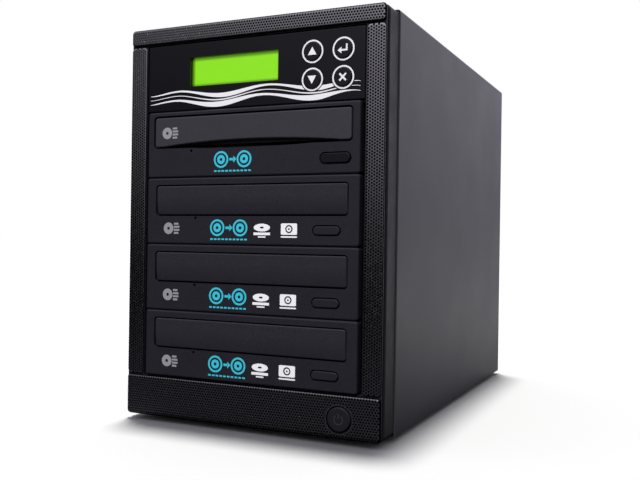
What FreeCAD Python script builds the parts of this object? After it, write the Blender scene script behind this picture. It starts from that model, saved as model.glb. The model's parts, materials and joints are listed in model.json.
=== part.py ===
import FreeCAD, Part
import Sketcher
import math
import os

# Disc duplicator tower: a steel cabinet with a moulded front frame, one control panel and four
# half-height optical drives. X runs to the right, Y to the back, Z up from the underside of the feet.

SIZES = {
    # cabinet
    "case_length": 300,
    "gauge": 0.8,
    "play": 0.4,
    "small_screw": 3,
    "cover_step": 0.8,
    "cover_bend": 2,
    "cover_flange": 10,
    "chassis_half": 88.4,
    "chassis_flange": 18,
    "head_drop": 0.6,
    "head_lip": 12,
    "bay_half": 76.5,
    "foot_height": 3,
    "foot_diameter": 18,
    "foot_round": 0.8,
    "foot_stem": 4,
    "foot_stem_length": 2.5,
    "foot_inset_x": 68,
    "foot_front_y": -115,
    "foot_rear_y": 118,
    # moulded front frame
    "bezel_width": 178,
    "bezel_height": 251,
    "bezel_depth": 21,
    "bezel_wall": 2.5,
    "bezel_corner": 3.4,
    "bezel_edge": 1,
    "bezel_skin": 6.5,
    "bottom_bar": 26.5,
    "top_bar": 11.3,
    "opening_half": 76.3,
    "opening_liner": 2,
    "groove_width": 3,
    "groove_depth": 1.8,
    "plate_depth": 1,
    "plate_inset": 0.5,
    "plate_corner": 2.8,
    "pocket_depth": 2.6,
    "pocket_wall": 1.1,
    "clip_inner": 86.7,
    "clip_outer": 88.2,
    "clip_low": 55,
    "clip_height": 10,
    "clip_pitch": 65,
    "clip_root": 4,
    "clip_length": 9,
    "clip_play": 0.5,
    # perforated inserts of the front frame
    "sheet": 0.8,
    "sheet_proud": 0.6,
    "sheet_inset": 0.4,
    "sheet_inner": 76.6,
    "sheet_gap": 0.3,
    "sheet_corner": 2.4,
    "sheet_edge": 0.6,
    # drive bays
    "bay_gap": 0.5,
    "bay_pitch": 42.3,
    "drive_proud": 1,
    "drive_length": 165,
    "case_half": 73,
    "case_low": 0.4,
    "case_high": 41.6,
    "case_corner": 1,
    "screw_front": 44,
    "screw_rear": 114,
    "screw_level": 21,
    "screw_head": 5.6,
    "screw_head_height": 1.8,
    "screw_reach": 0.9,
    "plug_left": -62,
    "plug_right": -18,
    "plug_low": 3.6,
    "plug_high": 13,
    "plug_wall": 2,
    "cage_ease": 0.2,
    "cage_plate": 1,
    "cage_flange": 86,
    "cage_left_rear": 140,
    "cage_right_rear": 20,
    "cage_window_near": 59,
    "cage_window_far": 99,
    "cage_window_low": 9,
    "cage_window_high": 33,
    # faces, doors and buttons of the drives
    "face_width": 148,
    "face_height": 42,
    "face_depth": 6,
    "face_skin": 2.2,
    "face_wall": 2,
    "face_corner": 1.6,
    "face_edge": 1.2,
    "reader_band": 14.4,
    "writer_band": 15.4,
    "door_depth": 5,
    "door_corner": 1.6,
    "door_edge": 0.8,
    "writer_door_gap": 0.8,
    "writer_door_width": 133.2,
    "writer_door_top": 36.9,
    "writer_door_bottom": 18.6,
    "brow_ridge": 29.9,
    "brow_foot": 17.6,
    "brow_fall": 1.55,
    "reader_door_gap": 1.1,
    "reader_door_width": 137,
    "reader_door_top": 38.4,
    "reader_door_bottom": 19.7,
    "arch_half": 62,
    "arch_rise": 3,
    "scoop_half": 61,
    "scoop_sag": 2.2,
    "scoop_depth": 4,
    "eject_level": 9.3,
    "eject_gap": 0.8,
    "eject_proud": 0.6,
    "eject_depth": 2.9,
    "eject_edge": 0.5,
    "eject_flange": 1.5,
    "eject_ease": 0.3,
    "writer_eject_x": 53.6,
    "writer_eject_length": 16.8,
    "writer_eject_height": 4.9,
    "reader_eject_x": 58.6,
    "reader_eject_length": 18.8,
    "reader_eject_height": 5.7,
    "pin_hole": 1.8,
    "pin_level": 16.6,
    "writer_pin_x": -37,
    "reader_pin_x": -40.8,
    # trays, loaders and spindles of the drives
    "tray_half": 64,
    "tray_skirt": 59.5,
    "tray_length": 162,
    "tray_foot": 20.5,
    "tray_under": 26,
    "tray_top": 33,
    "tray_apron": 3,
    "well_centre": 69.5,
    "well_diameter": 121,
    "well_floor": 29.5,
    "small_well_diameter": 81,
    "small_well_floor": 28,
    "spindle_window": 40,
    "slot_half": 17,
    "slot_end": 134,
    "loader_half": 71.8,
    "loader_low": 1.5,
    "loader_top": 32,
    "rail_half": 64.5,
    "rail_level": 20.2,
    "bed_half": 58,
    "bed_level": 4.5,
    "rail_core_inner": 60.5,
    "rail_core_outer": 69,
    "rail_core_near": 12,
    "rail_core_far": 164,
    "rail_core_top": 17,
    "motor_diameter": 24,
    "motor_top": 16,
    "shaft": 3,
    "shaft_play": 0.1,
    "shaft_foot": 5.5,
    "table_radius": 14,
    "table_low": 17,
    "table_high": 18.6,
    "cone_foot": 7.6,
    "cone_shoulder": 7.2,
    "cone_head": 5.5,
    "cone_bevel": 1.5,
    "cone_top": 23.5,
    # control panel
    "panel_set": 1,
    "panel_skin": 3,
    "panel_half": 75.9,
    "panel_low": 196.4,
    "panel_high": 239.3,
    "panel_corner": 0.8,
    "panel_skirt": 9,
    "panel_wall": 2,
    "arm_outer": 73.1,
    "arm_low": 201,
    "arm_high": 235,
    "arm_length": 50,
    "board_thick": 1.6,
    "board_set": 9.7,
    "board_left": 34,
    "board_right": 70,
    "board_low": 200,
    "board_high": 237,
    "board_inset": 2.3,
    "post": 5,
    "screen_x": -12.2,
    "screen_level": 220.7,
    "screen_width": 63,
    "screen_height": 18.4,
    "screen_post": 4,
    "screen_post_x": 35.8,
    "screen_post_z": 13.4,
    "window_lip": 2,
    "window_thick": 1,
    "window_ease": 0.1,
    "module_lip": 1.6,
    "module_board": 6.6,
    "module_recess": 0.8,
    "glass_ease": 0.3,
    "key_left_x": 42.2,
    "key_right_x": 62,
    "key_upper": 226.6,
    "key_lower": 210.1,
    "key_hole": 11.6,
    "key_cap": 11,
    "key_edge": 0.5,
    "key_flange": 13,
    "key_flange_thick": 0.8,
    "key_proud": 0.7,
    "key_seat": 3.2,
    "key_stub": 4,
    "key_end": 4.7,
    "tact_half": 3,
    "tact_height": 3.5,
    "tact_stem": 3.4,
    "tact_top": 4,
    # power button
    "power_x": 63,
    "power_level": 11.8,
    "power_hole": 15.4,
    "power_cap": 14.6,
    "power_edge": 1,
    "power_proud": 1.3,
    "power_seat": 3.4,
    "power_shelf": 3,
    "power_boss": 22,
    "power_bore": 18.6,
    "power_flange": 17.2,
    "power_flange_thick": 1,
    "power_stub": 5,
    "power_end": 7,
    "switch_half": 6,
    "switch_set": 9.4,
    "switch_plunger": 8.8,
    # rear panel and power supply
    "rear_half": 88.7,
    "rear_drop": 0.2,
    "vent_inner": 47,
    "vent_outer": 75,
    "vent_low": 115,
    "vent_slot": 3.2,
    "vent_rise": 70,
    "top_vent_half": 66,
    "top_vent_low": 207,
    "top_vent_high": 233,
    "supply_length": 100,
    "supply_half": 62.5,
    "supply_low": 1,
    "supply_high": 64.5,
    "supply_wall": 1,
    "supply_window": 56.5,
    "supply_window_low": 5,
    "supply_window_high": 61,
    "supply_screw_x": 59.6,
    "supply_screw_low": 7,
    "supply_screw_high": 58.5,
    "supply_screw_head": 6,
    "supply_grille": 46,
    "supply_grille_low": 15,
    "supply_grille_high": 51,
    "supply_slot_left": -12,
    "supply_slot_width": 4,
    "supply_slot_run": 60,
    "inlet_x": -40,
    "inlet_plate": 15,
    "inlet_body": 13,
    "inlet_low": 8,
    "inlet_high": 57,
    "inlet_lip": 2,
    "inlet_edge": 0.8,
    "inlet_depth": 17,
    "socket_level": 22,
    "socket_half": 12,
    "socket_rise": 8,
    "socket_bevel": 4.5,
    "socket_depth": 14,
    "pin_spread": 7,
    "pin_drop": 2,
    "pin_half": 1,
    "pin_rise": 2,
    "pin_length": 12,
    "rocker_level": 43.5,
    "rocker_set": 1,
    "rocker_tilt": -8,
    "rocker_half": 6.5,
    "rocker_rise": 9.2,
    "rocker_tip": 3.4,
    "rocker_dip": 1.2,
    "rocker_back": 3,
    "rocker_keel": 6,
    "rocker_draw": 0.6,
    "rocker_well": 11,
    "rocker_ease": 0.3,
    "rocker_rise_ease": 1,
    "rocker_pin": 9,
    "rocker_pin_play": 0.5,
    # exhaust fan
    "fan_level": 150,
    "fan_half": 40,
    "fan_depth": 25,
    "fan_corner": 5,
    "fan_duct": 76,
    "fan_hole_half": 35.75,
    "fan_screw": 3.8,
    "fan_screw_head": 7.4,
    "fan_screw_length": 11,
    "fan_hub": 32,
    "fan_hub_depth": 5,
    "fan_strut": 3,
    "fan_strut_half": 39,
    "fan_base": 1,
    "rotor_foot": 1.5,
    "rotor_low": 5.6,
    "rotor_high": 23.5,
    "rotor_edge": 1.5,
    "blade_root": 13,
    "blade_tip": 36.5,
    "blade_middle": 14.5,
    "blade_root_chord": 16,
    "blade_root_pitch": 50,
    "blade_tip_chord": 20,
    "blade_tip_pitch": 35,
    "blade_thick": 1.4,
    "guard_wire": 0.8,
    "guard_step": 9,
    "guard_first": 9.5,
    "guard_stand": 1.1,
    "guard_eye": 3,
    "guard_end": 2.6,
    "rear_head_height": 2,
    "rear_shank": 5,
    "thumb_x": 84,
    "thumb_low": 40,
    "thumb_high": 211,
    "thumb_head": 4.6,
    "thumb_diameter": 10,
    # duplication controller
    "logic_x": -65.2,
    "logic_near_y": 38,
    "logic_far_y": 122,
    "logic_low": 91,
    "logic_high": 189,
    "logic_margin": 8,
    "spacer": 5.5,
    "chip_middle_y": 80,
    "chip_middle": 135,
    "chip_half": 14,
    "chip_height": 6,
    "fin": 1.4,
    "fin_height": 7,
    "header_near_y": 34,
    "header_low": 99,
    "header_wide": 6,
    "header_tall": 16,
    "header_height": 8,
    "header_run": 76,
}

# The tower stands with the middle of its footprint at the origin.
FRONT = "(-(dims.case_length + dims.thumb_head - dims.drive_proud - dims.eject_proud) / 2)"
BACK = f"({FRONT} + dims.case_length)"
JOIN = f"({FRONT} + dims.bezel_depth)"
PLATE = f"({FRONT} + dims.sheet)"
SHELL = f"({FRONT} + dims.sheet + dims.plate_depth + dims.groove_width)"
PANEL = f"({BACK} - 2 * dims.gauge)"
SKIN = f"({PANEL} + dims.gauge)"
FACE = f"({FRONT} - dims.drive_proud)"
FLOOR = "dims.foot_height"
TOP = "(dims.foot_height + dims.bezel_height)"
SILL = "(dims.foot_height + dims.bottom_bar)"
LINTEL = "(dims.foot_height + dims.bezel_height - dims.top_bar)"
BAY = f"({SILL} + dims.bay_gap)"

DRIVES = ("reader", "writer_1", "writer_2", "writer_3")
BAYS = {"reader": 3, "writer_1": 2, "writer_2": 1, "writer_3": 0}
CLIP_ROWS = 3
VENT_SLOTS = 11
TOP_VENT_SLOTS = 19
SUPPLY_SLOTS = 10
FINS = 8
HEADERS = 4
BLADES = 7
GUARD_RINGS = 4
FOOT_TAPER = 8
# Depth by which joined features sink into each other.
OVERLAP = "0.5"
# Radius of a rounded slot end as a share of its height, just short of the half.
ROUND_END = 0.49

doc = FreeCAD.newDocument("disc_duplicator")
dims = doc.addObject("Spreadsheet::Sheet", "dims")
for row, (name, value) in enumerate(SIZES.items(), start=1):
    dims.set(f"A{row}", str(value))
    dims.setAlias(f"A{row}", name)
doc.recompute()

nodes = []


def size(name):
    """Number held by one cell of the sheet."""
    return float(dims.get(name))


def level(name):
    """Height of a named size above the underside of the cabinet."""
    return f"({FLOOR} + dims.{name})"


def new_body(label):
    """Empty body that becomes the node of that name."""
    body = doc.addObject("PartDesign::Body", label)
    body.Label = label
    body.AllowCompound = True
    nodes.append(body)
    return body


def origin_part(body, role):
    """Plane or axis of a body's own origin."""
    return [part for part in body.Origin.OriginFeatures if part.Role == role][0]


def box(left, low, right, high):
    """Corners of an upright rectangle."""
    return [(left, low), (right, low), (right, high), (left, high)]


def wide_box(half, low, high):
    """Rectangle that reaches equally far to both sides."""
    return box(f"-({half})", low, half, high)


def square(across, up, half):
    """Square about its middle."""
    return box(f"{across} - {half}", f"{up} - {half}", f"{across} + {half}", f"{up} + {half}")


def disc(across, up, diameter):
    """Circle given by its centre and diameter."""
    return ("disc", across, up, diameter)


def draw_outline(sketch, points):
    """Closed outline whose corners follow the given expressions."""
    count = len(points)
    first = sketch.GeometryCount
    turn = 2 * math.pi / count
    ring = [FreeCAD.Vector(math.cos(turn * i), math.sin(turn * i), 0) for i in range(count)]
    lines = [Part.LineSegment(ring[i], ring[(i + 1) % count]) for i in range(count)]
    sketch.addGeometry(lines, False)
    start = sketch.ConstraintCount
    rules = []
    for i in range(count):
        rules.append(Sketcher.Constraint("Coincident", first + i, 2, first + (i + 1) % count, 1))
    for i in range(count):
        rules.append(Sketcher.Constraint("DistanceX", -1, 1, first + i, 1, ring[i].x))
        rules.append(Sketcher.Constraint("DistanceY", -1, 1, first + i, 1, ring[i].y))
    sketch.addConstraint(rules)
    for i, (across, up) in enumerate(points):
        sketch.setExpression(f"Constraints[{start + count + 2 * i}]", across)
        sketch.setExpression(f"Constraints[{start + count + 2 * i + 1}]", up)


def draw_disc(sketch, across, up, diameter):
    """Circle whose centre and diameter follow the given expressions."""
    circle = Part.Circle(FreeCAD.Vector(1, 1, 0), FreeCAD.Vector(0, 0, 1), 1)
    index = sketch.addGeometry(circle, False)
    start = sketch.ConstraintCount
    sketch.addConstraint([
        Sketcher.Constraint("DistanceX", -1, 1, index, 3, 1.0),
        Sketcher.Constraint("DistanceY", -1, 1, index, 3, 1.0),
        Sketcher.Constraint("Diameter", index, 2.0),
    ])
    for step, rule in enumerate((across, up, diameter)):
        sketch.setExpression(f"Constraints[{start + step}]", rule)


def draw_bow(sketch, half, base, sag):
    """Bow between a level chord and an arc; the three names are cells, and a hanging arc has a minus."""
    hang = -1 if sag.startswith("-") else 1
    sag_name = sag.lstrip("-")
    reach = size(half)
    rise = hang * size(sag_name)
    height = size(base)
    left = FreeCAD.Vector(-reach, height, 0)
    right = FreeCAD.Vector(reach, height, 0)
    arc = sketch.addGeometry(Part.Arc(left, FreeCAD.Vector(0, height + rise, 0), right), False)
    chord = sketch.addGeometry(Part.LineSegment(left, right), False)
    first = 1 if sketch.getPoint(arc, 1).x < 0 else 2
    start = sketch.ConstraintCount
    radius = (reach ** 2 + rise ** 2) / (2 * abs(rise))
    sketch.addConstraint([
        Sketcher.Constraint("Coincident", arc, first, chord, 1),
        Sketcher.Constraint("Coincident", arc, 3 - first, chord, 2),
        Sketcher.Constraint("DistanceX", -1, 1, chord, 1, -reach),
        Sketcher.Constraint("DistanceY", -1, 1, chord, 1, height),
        Sketcher.Constraint("DistanceX", -1, 1, chord, 2, reach),
        Sketcher.Constraint("DistanceY", -1, 1, chord, 2, height),
        Sketcher.Constraint("Radius", arc, radius),
    ])
    sag_rule = f"(dims.{half} ^ 2 + dims.{sag_name} ^ 2) / (2 * dims.{sag_name})"
    rules = (f"-dims.{half}", f"dims.{base}", f"dims.{half}", f"dims.{base}", sag_rule)
    for step, rule in enumerate(rules):
        sketch.setExpression(f"Constraints[{start + 2 + step}]", rule)


def draw_brow(sketch, ridge, foot, fall):
    """Area before an arc that leaves the front plane at a ridge and falls back towards a foot; all cells."""
    high = size(ridge)
    low = size(foot)
    back = size(fall)
    drop = high - low
    radius = (drop ** 2 + back ** 2) / (2 * back)
    half_turn = math.asin(drop / radius) / 2
    middle = FreeCAD.Vector(radius - radius * math.cos(half_turn), high - radius * math.sin(half_turn), 0)
    corners = [FreeCAD.Vector(0, high, 0), FreeCAD.Vector(back, low, 0),
               FreeCAD.Vector(-back, low, 0), FreeCAD.Vector(-back, high, 0)]
    arc = sketch.addGeometry(Part.Arc(corners[0], middle, corners[1]), False)
    under = sketch.addGeometry(Part.LineSegment(corners[1], corners[2]), False)
    rise = sketch.addGeometry(Part.LineSegment(corners[2], corners[3]), False)
    over = sketch.addGeometry(Part.LineSegment(corners[3], corners[0]), False)
    upper = 1 if sketch.getPoint(arc, 1).y > sketch.getPoint(arc, 2).y else 2
    start = sketch.ConstraintCount
    sketch.addConstraint([
        Sketcher.Constraint("Coincident", arc, 3 - upper, under, 1),
        Sketcher.Constraint("Coincident", under, 2, rise, 1),
        Sketcher.Constraint("Coincident", rise, 2, over, 1),
        Sketcher.Constraint("Coincident", over, 2, arc, upper),
        Sketcher.Constraint("Horizontal", under),
        Sketcher.Constraint("Vertical", rise),
        Sketcher.Constraint("Horizontal", over),
        Sketcher.Constraint("PointOnObject", over, 2, -2),
        Sketcher.Constraint("DistanceY", -1, 1, over, 2, high),
        Sketcher.Constraint("DistanceX", -1, 1, under, 1, back),
        Sketcher.Constraint("DistanceY", -1, 1, under, 1, low),
        Sketcher.Constraint("DistanceX", -1, 1, under, 2, -back),
        Sketcher.Constraint("Radius", arc, radius),
    ])
    bend = f"((dims.{ridge} - dims.{foot}) ^ 2 + dims.{fall} ^ 2) / (2 * dims.{fall})"
    rules = (f"dims.{ridge}", f"dims.{fall}", f"dims.{foot}", f"-dims.{fall}", bend)
    for step, rule in enumerate(rules, start=8):
        sketch.setExpression(f"Constraints[{start + step}]", rule)


def new_sketch(body, plane, offset, shapes):
    """Sketch on a plane of the body's origin, moved along the axis the plane faces."""
    sketch = body.newObject("Sketcher::SketchObject", body.Name + "_sketch")
    sketch.AttachmentSupport = (origin_part(body, plane + "_Plane"), [""])
    sketch.MapMode = "FlatFace"
    sign = "-" if plane == "XZ" else ""
    sketch.setExpression("AttachmentOffset.Base.z", f"{sign}({offset})")
    for shape in shapes:
        if shape[0] == "disc":
            draw_disc(sketch, *shape[1:])
        elif shape[0] == "bow":
            draw_bow(sketch, *shape[1:])
        elif shape[0] == "brow":
            draw_brow(sketch, *shape[1:])
        else:
            draw_outline(sketch, shape)
    return sketch


def grow(body, plane, offset, length, *shapes):
    """Pad of the shapes that starts at an offset and runs along the positive axis."""
    feature = body.newObject("PartDesign::Pad", body.Name + "_pad")
    feature.Profile = new_sketch(body, plane, offset, shapes)
    feature.setExpression("Length", length)
    feature.Reversed = plane == "XZ"
    return feature


def carve(body, plane, offset, length, *shapes):
    """Pocket of the shapes that starts at an offset and runs along the positive axis."""
    feature = body.newObject("PartDesign::Pocket", body.Name + "_pocket")
    feature.Profile = new_sketch(body, plane, offset, shapes)
    feature.setExpression("Length", length)
    feature.Reversed = plane != "XZ"
    return feature


def spin(body, plane, points):
    """Revolution of an outline about the upright axis of its sketch."""
    feature = body.newObject("PartDesign::Revolution", body.Name + "_turned")
    sketch = new_sketch(body, plane, "0", [points])
    feature.Profile = sketch
    feature.ReferenceAxis = (sketch, ["V_Axis"])
    feature.Angle = 360
    return feature


def repeat(body, feature, axis, length, count):
    """Row of equal copies of one feature."""
    row_of = body.newObject("PartDesign::LinearPattern", body.Name + "_row")
    row_of.Originals = [feature]
    row_of.Direction = (origin_part(body, axis + "_Axis"), [""])
    row_of.setExpression("Length", length)
    row_of.Occurrences = count
    body.Tip = row_of


def pick(shape, along=None, flat=None, touching=None, window=None):
    """Names of edges: along an axis, flat in an outermost plane, touching one, or inside a window."""
    names = []
    for number, edge in enumerate(shape.Edges, start=1):
        if along:
            if not isinstance(edge.Curve, Part.Line):
                continue
            if abs(getattr(edge.Curve.Direction, along.lower())) < 0.999:
                continue
        hits = [on_outermost(shape, vertex, flat or touching) for vertex in edge.Vertexes]
        if flat and not all(hits):
            continue
        if touching and not any(hits):
            continue
        if window:
            left, low, right, high = window
            middle = edge.BoundBox.Center
            if not (left < middle.x < right and low < middle.z < high):
                continue
        names.append(f"Edge{number}")
    return names


def on_outermost(shape, vertex, side):
    """Whether a vertex lies in the outermost plane of a shape on a side such as -Y."""
    if not side:
        return False
    choose = min if side[0] == "-" else max
    outermost = choose(getattr(point, side[1]) for point in shape.Vertexes)
    return abs(getattr(vertex, side[1]) - outermost) < 0.01


def soften(body, radius, **where):
    """Fillet of the picked edges."""
    doc.recompute()
    base = body.Tip
    feature = body.newObject("PartDesign::Fillet", body.Name + "_fillet")
    feature.Base = (base, pick(base.Shape, **where))
    feature.setExpression("Radius", radius)
    return feature


def place(body, across="0", back="0", up="0"):
    """Position of a body that was drawn about its own origin."""
    body.setExpression("Placement.Base.x", across)
    body.setExpression("Placement.Base.y", back)
    body.setExpression("Placement.Base.z", up)


def mirrored(shapes):
    """The shapes and their copies across the middle plane."""
    both = list(shapes)
    for shape in shapes:
        if shape[0] == "disc":
            both.append(("disc", f"-({shape[1]})", shape[2], shape[3]))
        else:
            both.append([(f"-({across})", up) for across, up in shape])
    return both


def corner_discs(diameter):
    """Circles on the four corners of the fan's screw square."""
    found = []
    for side in (-1, 1):
        for rise in (-1, 1):
            across = f"{side} * dims.fan_hole_half"
            found.append(disc(across, f"{level('fan_level')} + {rise} * dims.fan_hole_half", diameter))
    return found


def thumb_discs(diameter):
    """Circles where the cover's thumbscrews stand."""
    return mirrored([disc("dims.thumb_x", level(name), diameter) for name in ("thumb_low", "thumb_high")])


def supply_screw_discs(diameter):
    """Circles where the power supply is screwed to the rear panel."""
    heights = ("supply_screw_low", "supply_screw_high")
    return mirrored([disc("dims.supply_screw_x", level(name), diameter) for name in heights])


def foot_discs(diameter):
    """Circles where the feet stand."""
    return mirrored([disc("dims.foot_inset_x", f"dims.foot_{end}_y", diameter) for end in ("front", "rear")])


def clip_boxes(margin):
    """Rectangles of the clips that join the front frame to the chassis, larger by a margin."""
    boxes = []
    for clip in range(CLIP_ROWS):
        low = f"{level('clip_low')} + {clip} * dims.clip_pitch"
        high = f"{low} + dims.clip_height + {margin}"
        outer = f"dims.clip_outer + {margin}"
        boxes.append(box(f"dims.clip_inner - {margin}", f"{low} - {margin}", outer, high))
    return mirrored(boxes)


def build_chassis():
    """Folded steel pan with an upright front frame."""
    half = "dims.chassis_half"
    inner = "(dims.chassis_half - dims.gauge)"
    lip = level("chassis_flange")
    deck = level("gauge")
    body = new_body("base_chassis")
    channel = [
        (f"-{half}", FLOOR), (half, FLOOR), (half, lip), (inner, lip),
        (inner, deck), (f"-{inner}", deck), (f"-{inner}", lip), (f"-{half}", lip),
    ]
    grow(body, "XZ", JOIN, f"{PANEL} - {JOIN}", channel)
    head = f"({TOP} - dims.head_drop)"
    window = wide_box("dims.bay_half", f"{SILL} - dims.bay_gap", f"{LINTEL} + dims.play")
    grow(body, "XZ", JOIN, "dims.gauge", wide_box(half, FLOOR, head), window)
    grow(body, "XZ", JOIN, "dims.head_lip", wide_box(half, f"{head} - dims.gauge", head))
    carve(body, "XY", FLOOR, "dims.gauge", *foot_discs("dims.foot_stem + dims.play"))
    carve(body, "XZ", JOIN, "dims.gauge", *clip_boxes("dims.clip_play"))


def build_rear_panel():
    """Rear plate with the fan opening, the supply window and three blocks of vent slots."""
    body = new_body("rear_panel")
    grow(body, "XZ", PANEL, "dims.gauge", wide_box("dims.rear_half", FLOOR, f"{TOP} - dims.rear_drop"))
    holes = [
        wide_box("dims.supply_window", level("supply_window_low"), level("supply_window_high")),
        disc("0", level("fan_level"), "dims.fan_duct"),
    ]
    holes += corner_discs("dims.fan_screw + dims.play")
    holes += supply_screw_discs("dims.small_screw + dims.play")
    holes += thumb_discs("dims.small_screw + dims.play")
    carve(body, "XZ", PANEL, "dims.gauge", *holes)
    low = level("vent_low")
    slots = mirrored([box("dims.vent_inner", low, "dims.vent_outer", f"{low} + dims.vent_slot")])
    row = carve(body, "XZ", PANEL, "dims.gauge", *slots)
    repeat(body, row, "Z", "dims.vent_rise", VENT_SLOTS)
    left = "-dims.top_vent_half"
    slot = box(left, level("top_vent_low"), f"{left} + dims.vent_slot", level("top_vent_high"))
    top_row = carve(body, "XZ", PANEL, "dims.gauge", slot)
    repeat(body, top_row, "X", "2 * dims.top_vent_half - dims.vent_slot", TOP_VENT_SLOTS)


def build_cover():
    """Folded cover over the top and both sides, with a screwed flange round the rear edge."""
    outer = "(dims.bezel_width / 2 + dims.cover_step)"
    inner = f"({outer} - dims.gauge)"
    crown = f"({TOP} + dims.cover_step)"
    under = f"({crown} - dims.gauge)"
    body = new_body("cover")
    hoop = [
        (f"-{outer}", FLOOR), (f"-{inner}", FLOOR), (f"-{inner}", under), (inner, under),
        (inner, FLOOR), (outer, FLOOR), (outer, crown), (f"-{outer}", crown),
    ]
    grow(body, "XZ", JOIN, f"{BACK} - {JOIN}", hoop)
    soften(body, "dims.cover_bend", along="Y", flat="+Z")
    edge = f"({inner} - dims.cover_flange)"
    shelf = f"({under} - dims.cover_flange)"
    flange = [
        (f"-{inner}", FLOOR), (f"-{edge}", FLOOR), (f"-{edge}", shelf), (edge, shelf),
        (edge, FLOOR), (inner, FLOOR), (inner, under), (f"-{inner}", under),
    ]
    grow(body, "XZ", SKIN, "dims.gauge", flange)
    carve(body, "XZ", SKIN, "dims.gauge", *thumb_discs("dims.small_screw + dims.play"))


def bezel_box(inset):
    """Outline of the front frame, smaller by an inset."""
    return wide_box(f"dims.bezel_width / 2 - {inset}", f"{FLOOR} + {inset}", f"{TOP} - {inset}")


def build_bezel():
    """Moulded front frame: hollow shell, shadow groove, front plate with pockets behind the inserts."""
    body = new_body("front_bezel")
    half = "(dims.bezel_width / 2)"
    grow(body, "XZ", SHELL, f"{JOIN} - {SHELL}", bezel_box("0"))
    soften(body, "dims.bezel_corner", along="Y")
    soften(body, "dims.bezel_edge", flat="-Y")
    grow(body, "XZ", PLATE, f"{SHELL} - {PLATE} + {OVERLAP}", bezel_box("dims.groove_depth"))
    grow(body, "XZ", PLATE, "dims.plate_depth", bezel_box("dims.plate_inset"))
    soften(body, "dims.plate_corner", along="Y", touching="-Y")
    carve(body, "XZ", PLATE, f"{JOIN} - {PLATE}", wide_box("dims.opening_half", SILL, LINTEL))
    liner = "(dims.opening_half + dims.opening_liner)"
    frame = wide_box(liner, f"{SILL} - dims.opening_liner", f"{LINTEL} + dims.opening_liner")
    carve(body, "XZ", f"{FRONT} + dims.bezel_skin", "dims.bezel_depth", bezel_box("dims.bezel_wall"), frame)
    edge = "(dims.groove_depth + dims.pocket_wall)"
    wide = f"{half} - {edge}"
    top = wide_box(wide, f"{LINTEL} + dims.pocket_wall", f"{TOP} - {edge}")
    low = wide_box(wide, f"{FLOOR} + {edge}", f"{SILL} - dims.pocket_wall")
    side = box("dims.opening_half + dims.pocket_wall", SILL, wide, LINTEL)
    boss = disc("dims.power_x", level("power_level"), "dims.power_boss")
    carve(body, "XZ", PLATE, "dims.pocket_depth", top, low, boss, *mirrored([side]))
    middle = ("dims.power_x", level("power_level"))
    carve(body, "XZ", PLATE, "dims.bezel_skin", disc(*middle, "dims.power_hole"))
    carve(body, "XZ", f"{FRONT} + dims.power_shelf", "dims.bezel_skin", disc(*middle, "dims.power_bore"))
    grow(body, "XZ", f"{JOIN} - dims.clip_root", "dims.clip_length", *clip_boxes("0"))


def build_inserts():
    """Perforated steel inserts of the front frame; the top and bottom ones stand a little proud."""
    outer = "(dims.bezel_width / 2 - dims.sheet_inset)"
    top = wide_box(outer, f"{LINTEL} + dims.sheet_gap", f"{TOP} - dims.sheet_inset")
    low = wide_box(outer, f"{FLOOR} + dims.sheet_inset", f"{SILL} - dims.sheet_gap")
    side = box("dims.sheet_inner", f"{SILL} + dims.sheet_gap", outer, f"{LINTEL} - dims.sheet_gap")
    zones = (("top_mesh", [top], "dims.sheet_proud"), ("side_meshes", mirrored([side]), "0"),
             ("bottom_mesh", [low], "dims.sheet_proud"))
    for label, shapes, proud in zones:
        body = new_body(label)
        start = f"{FRONT} - {proud}"
        grow(body, "XZ", start, f"dims.sheet + {proud}", *shapes)
        soften(body, "dims.sheet_corner", along="Y")
        soften(body, "dims.sheet_edge", flat="-Y")
        if label == "bottom_mesh":
            port = disc("dims.power_x", level("power_level"), "dims.power_hole + 2 * dims.play")
            carve(body, "XZ", start, f"dims.sheet + {proud}", port)


def key_places():
    """Name and position of each key of the control panel."""
    yield "up_key", "dims.key_left_x", level("key_upper")
    yield "enter_key", "dims.key_right_x", level("key_upper")
    yield "down_key", "dims.key_left_x", level("key_lower")
    yield "escape_key", "dims.key_right_x", level("key_lower")


def screen_box(margin):
    """Rectangle about the middle of the screen, larger than the visible field by a margin."""
    wide = f"(dims.screen_width / 2 + {margin})"
    tall = f"(dims.screen_height / 2 + {margin})"
    up = level("screen_level")
    return box(f"dims.screen_x - {wide}", f"{up} - {tall}", f"dims.screen_x + {wide}", f"{up} + {tall}")


def panel_box(inset):
    """Rectangle of the control panel, smaller by an inset."""
    low = f"{level('panel_low')} + {inset}"
    return wide_box(f"dims.panel_half - {inset}", low, f"{level('panel_high')} - {inset}")


def turned_button(body, name, stub):
    """Round button with a flange behind its hole and a stub that reaches its switch."""
    rim = f"dims.{name}_cap / 2"
    lip = f"dims.{name}_flange / 2"
    seat = f"dims.{name}_seat"
    rear = f"dims.{name}_seat + dims.{name}_flange_thick"
    front = f"-dims.{name}_proud"
    end = f"dims.{name}_end"
    foot = f"{stub} / 2"
    spin(body, "XY", [
        ("0", front), (rim, front), (rim, seat), (lip, seat),
        (lip, rear), (foot, rear), (foot, end), ("0", end),
    ])
    soften(body, f"dims.{name}_edge", flat="-Y")


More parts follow.
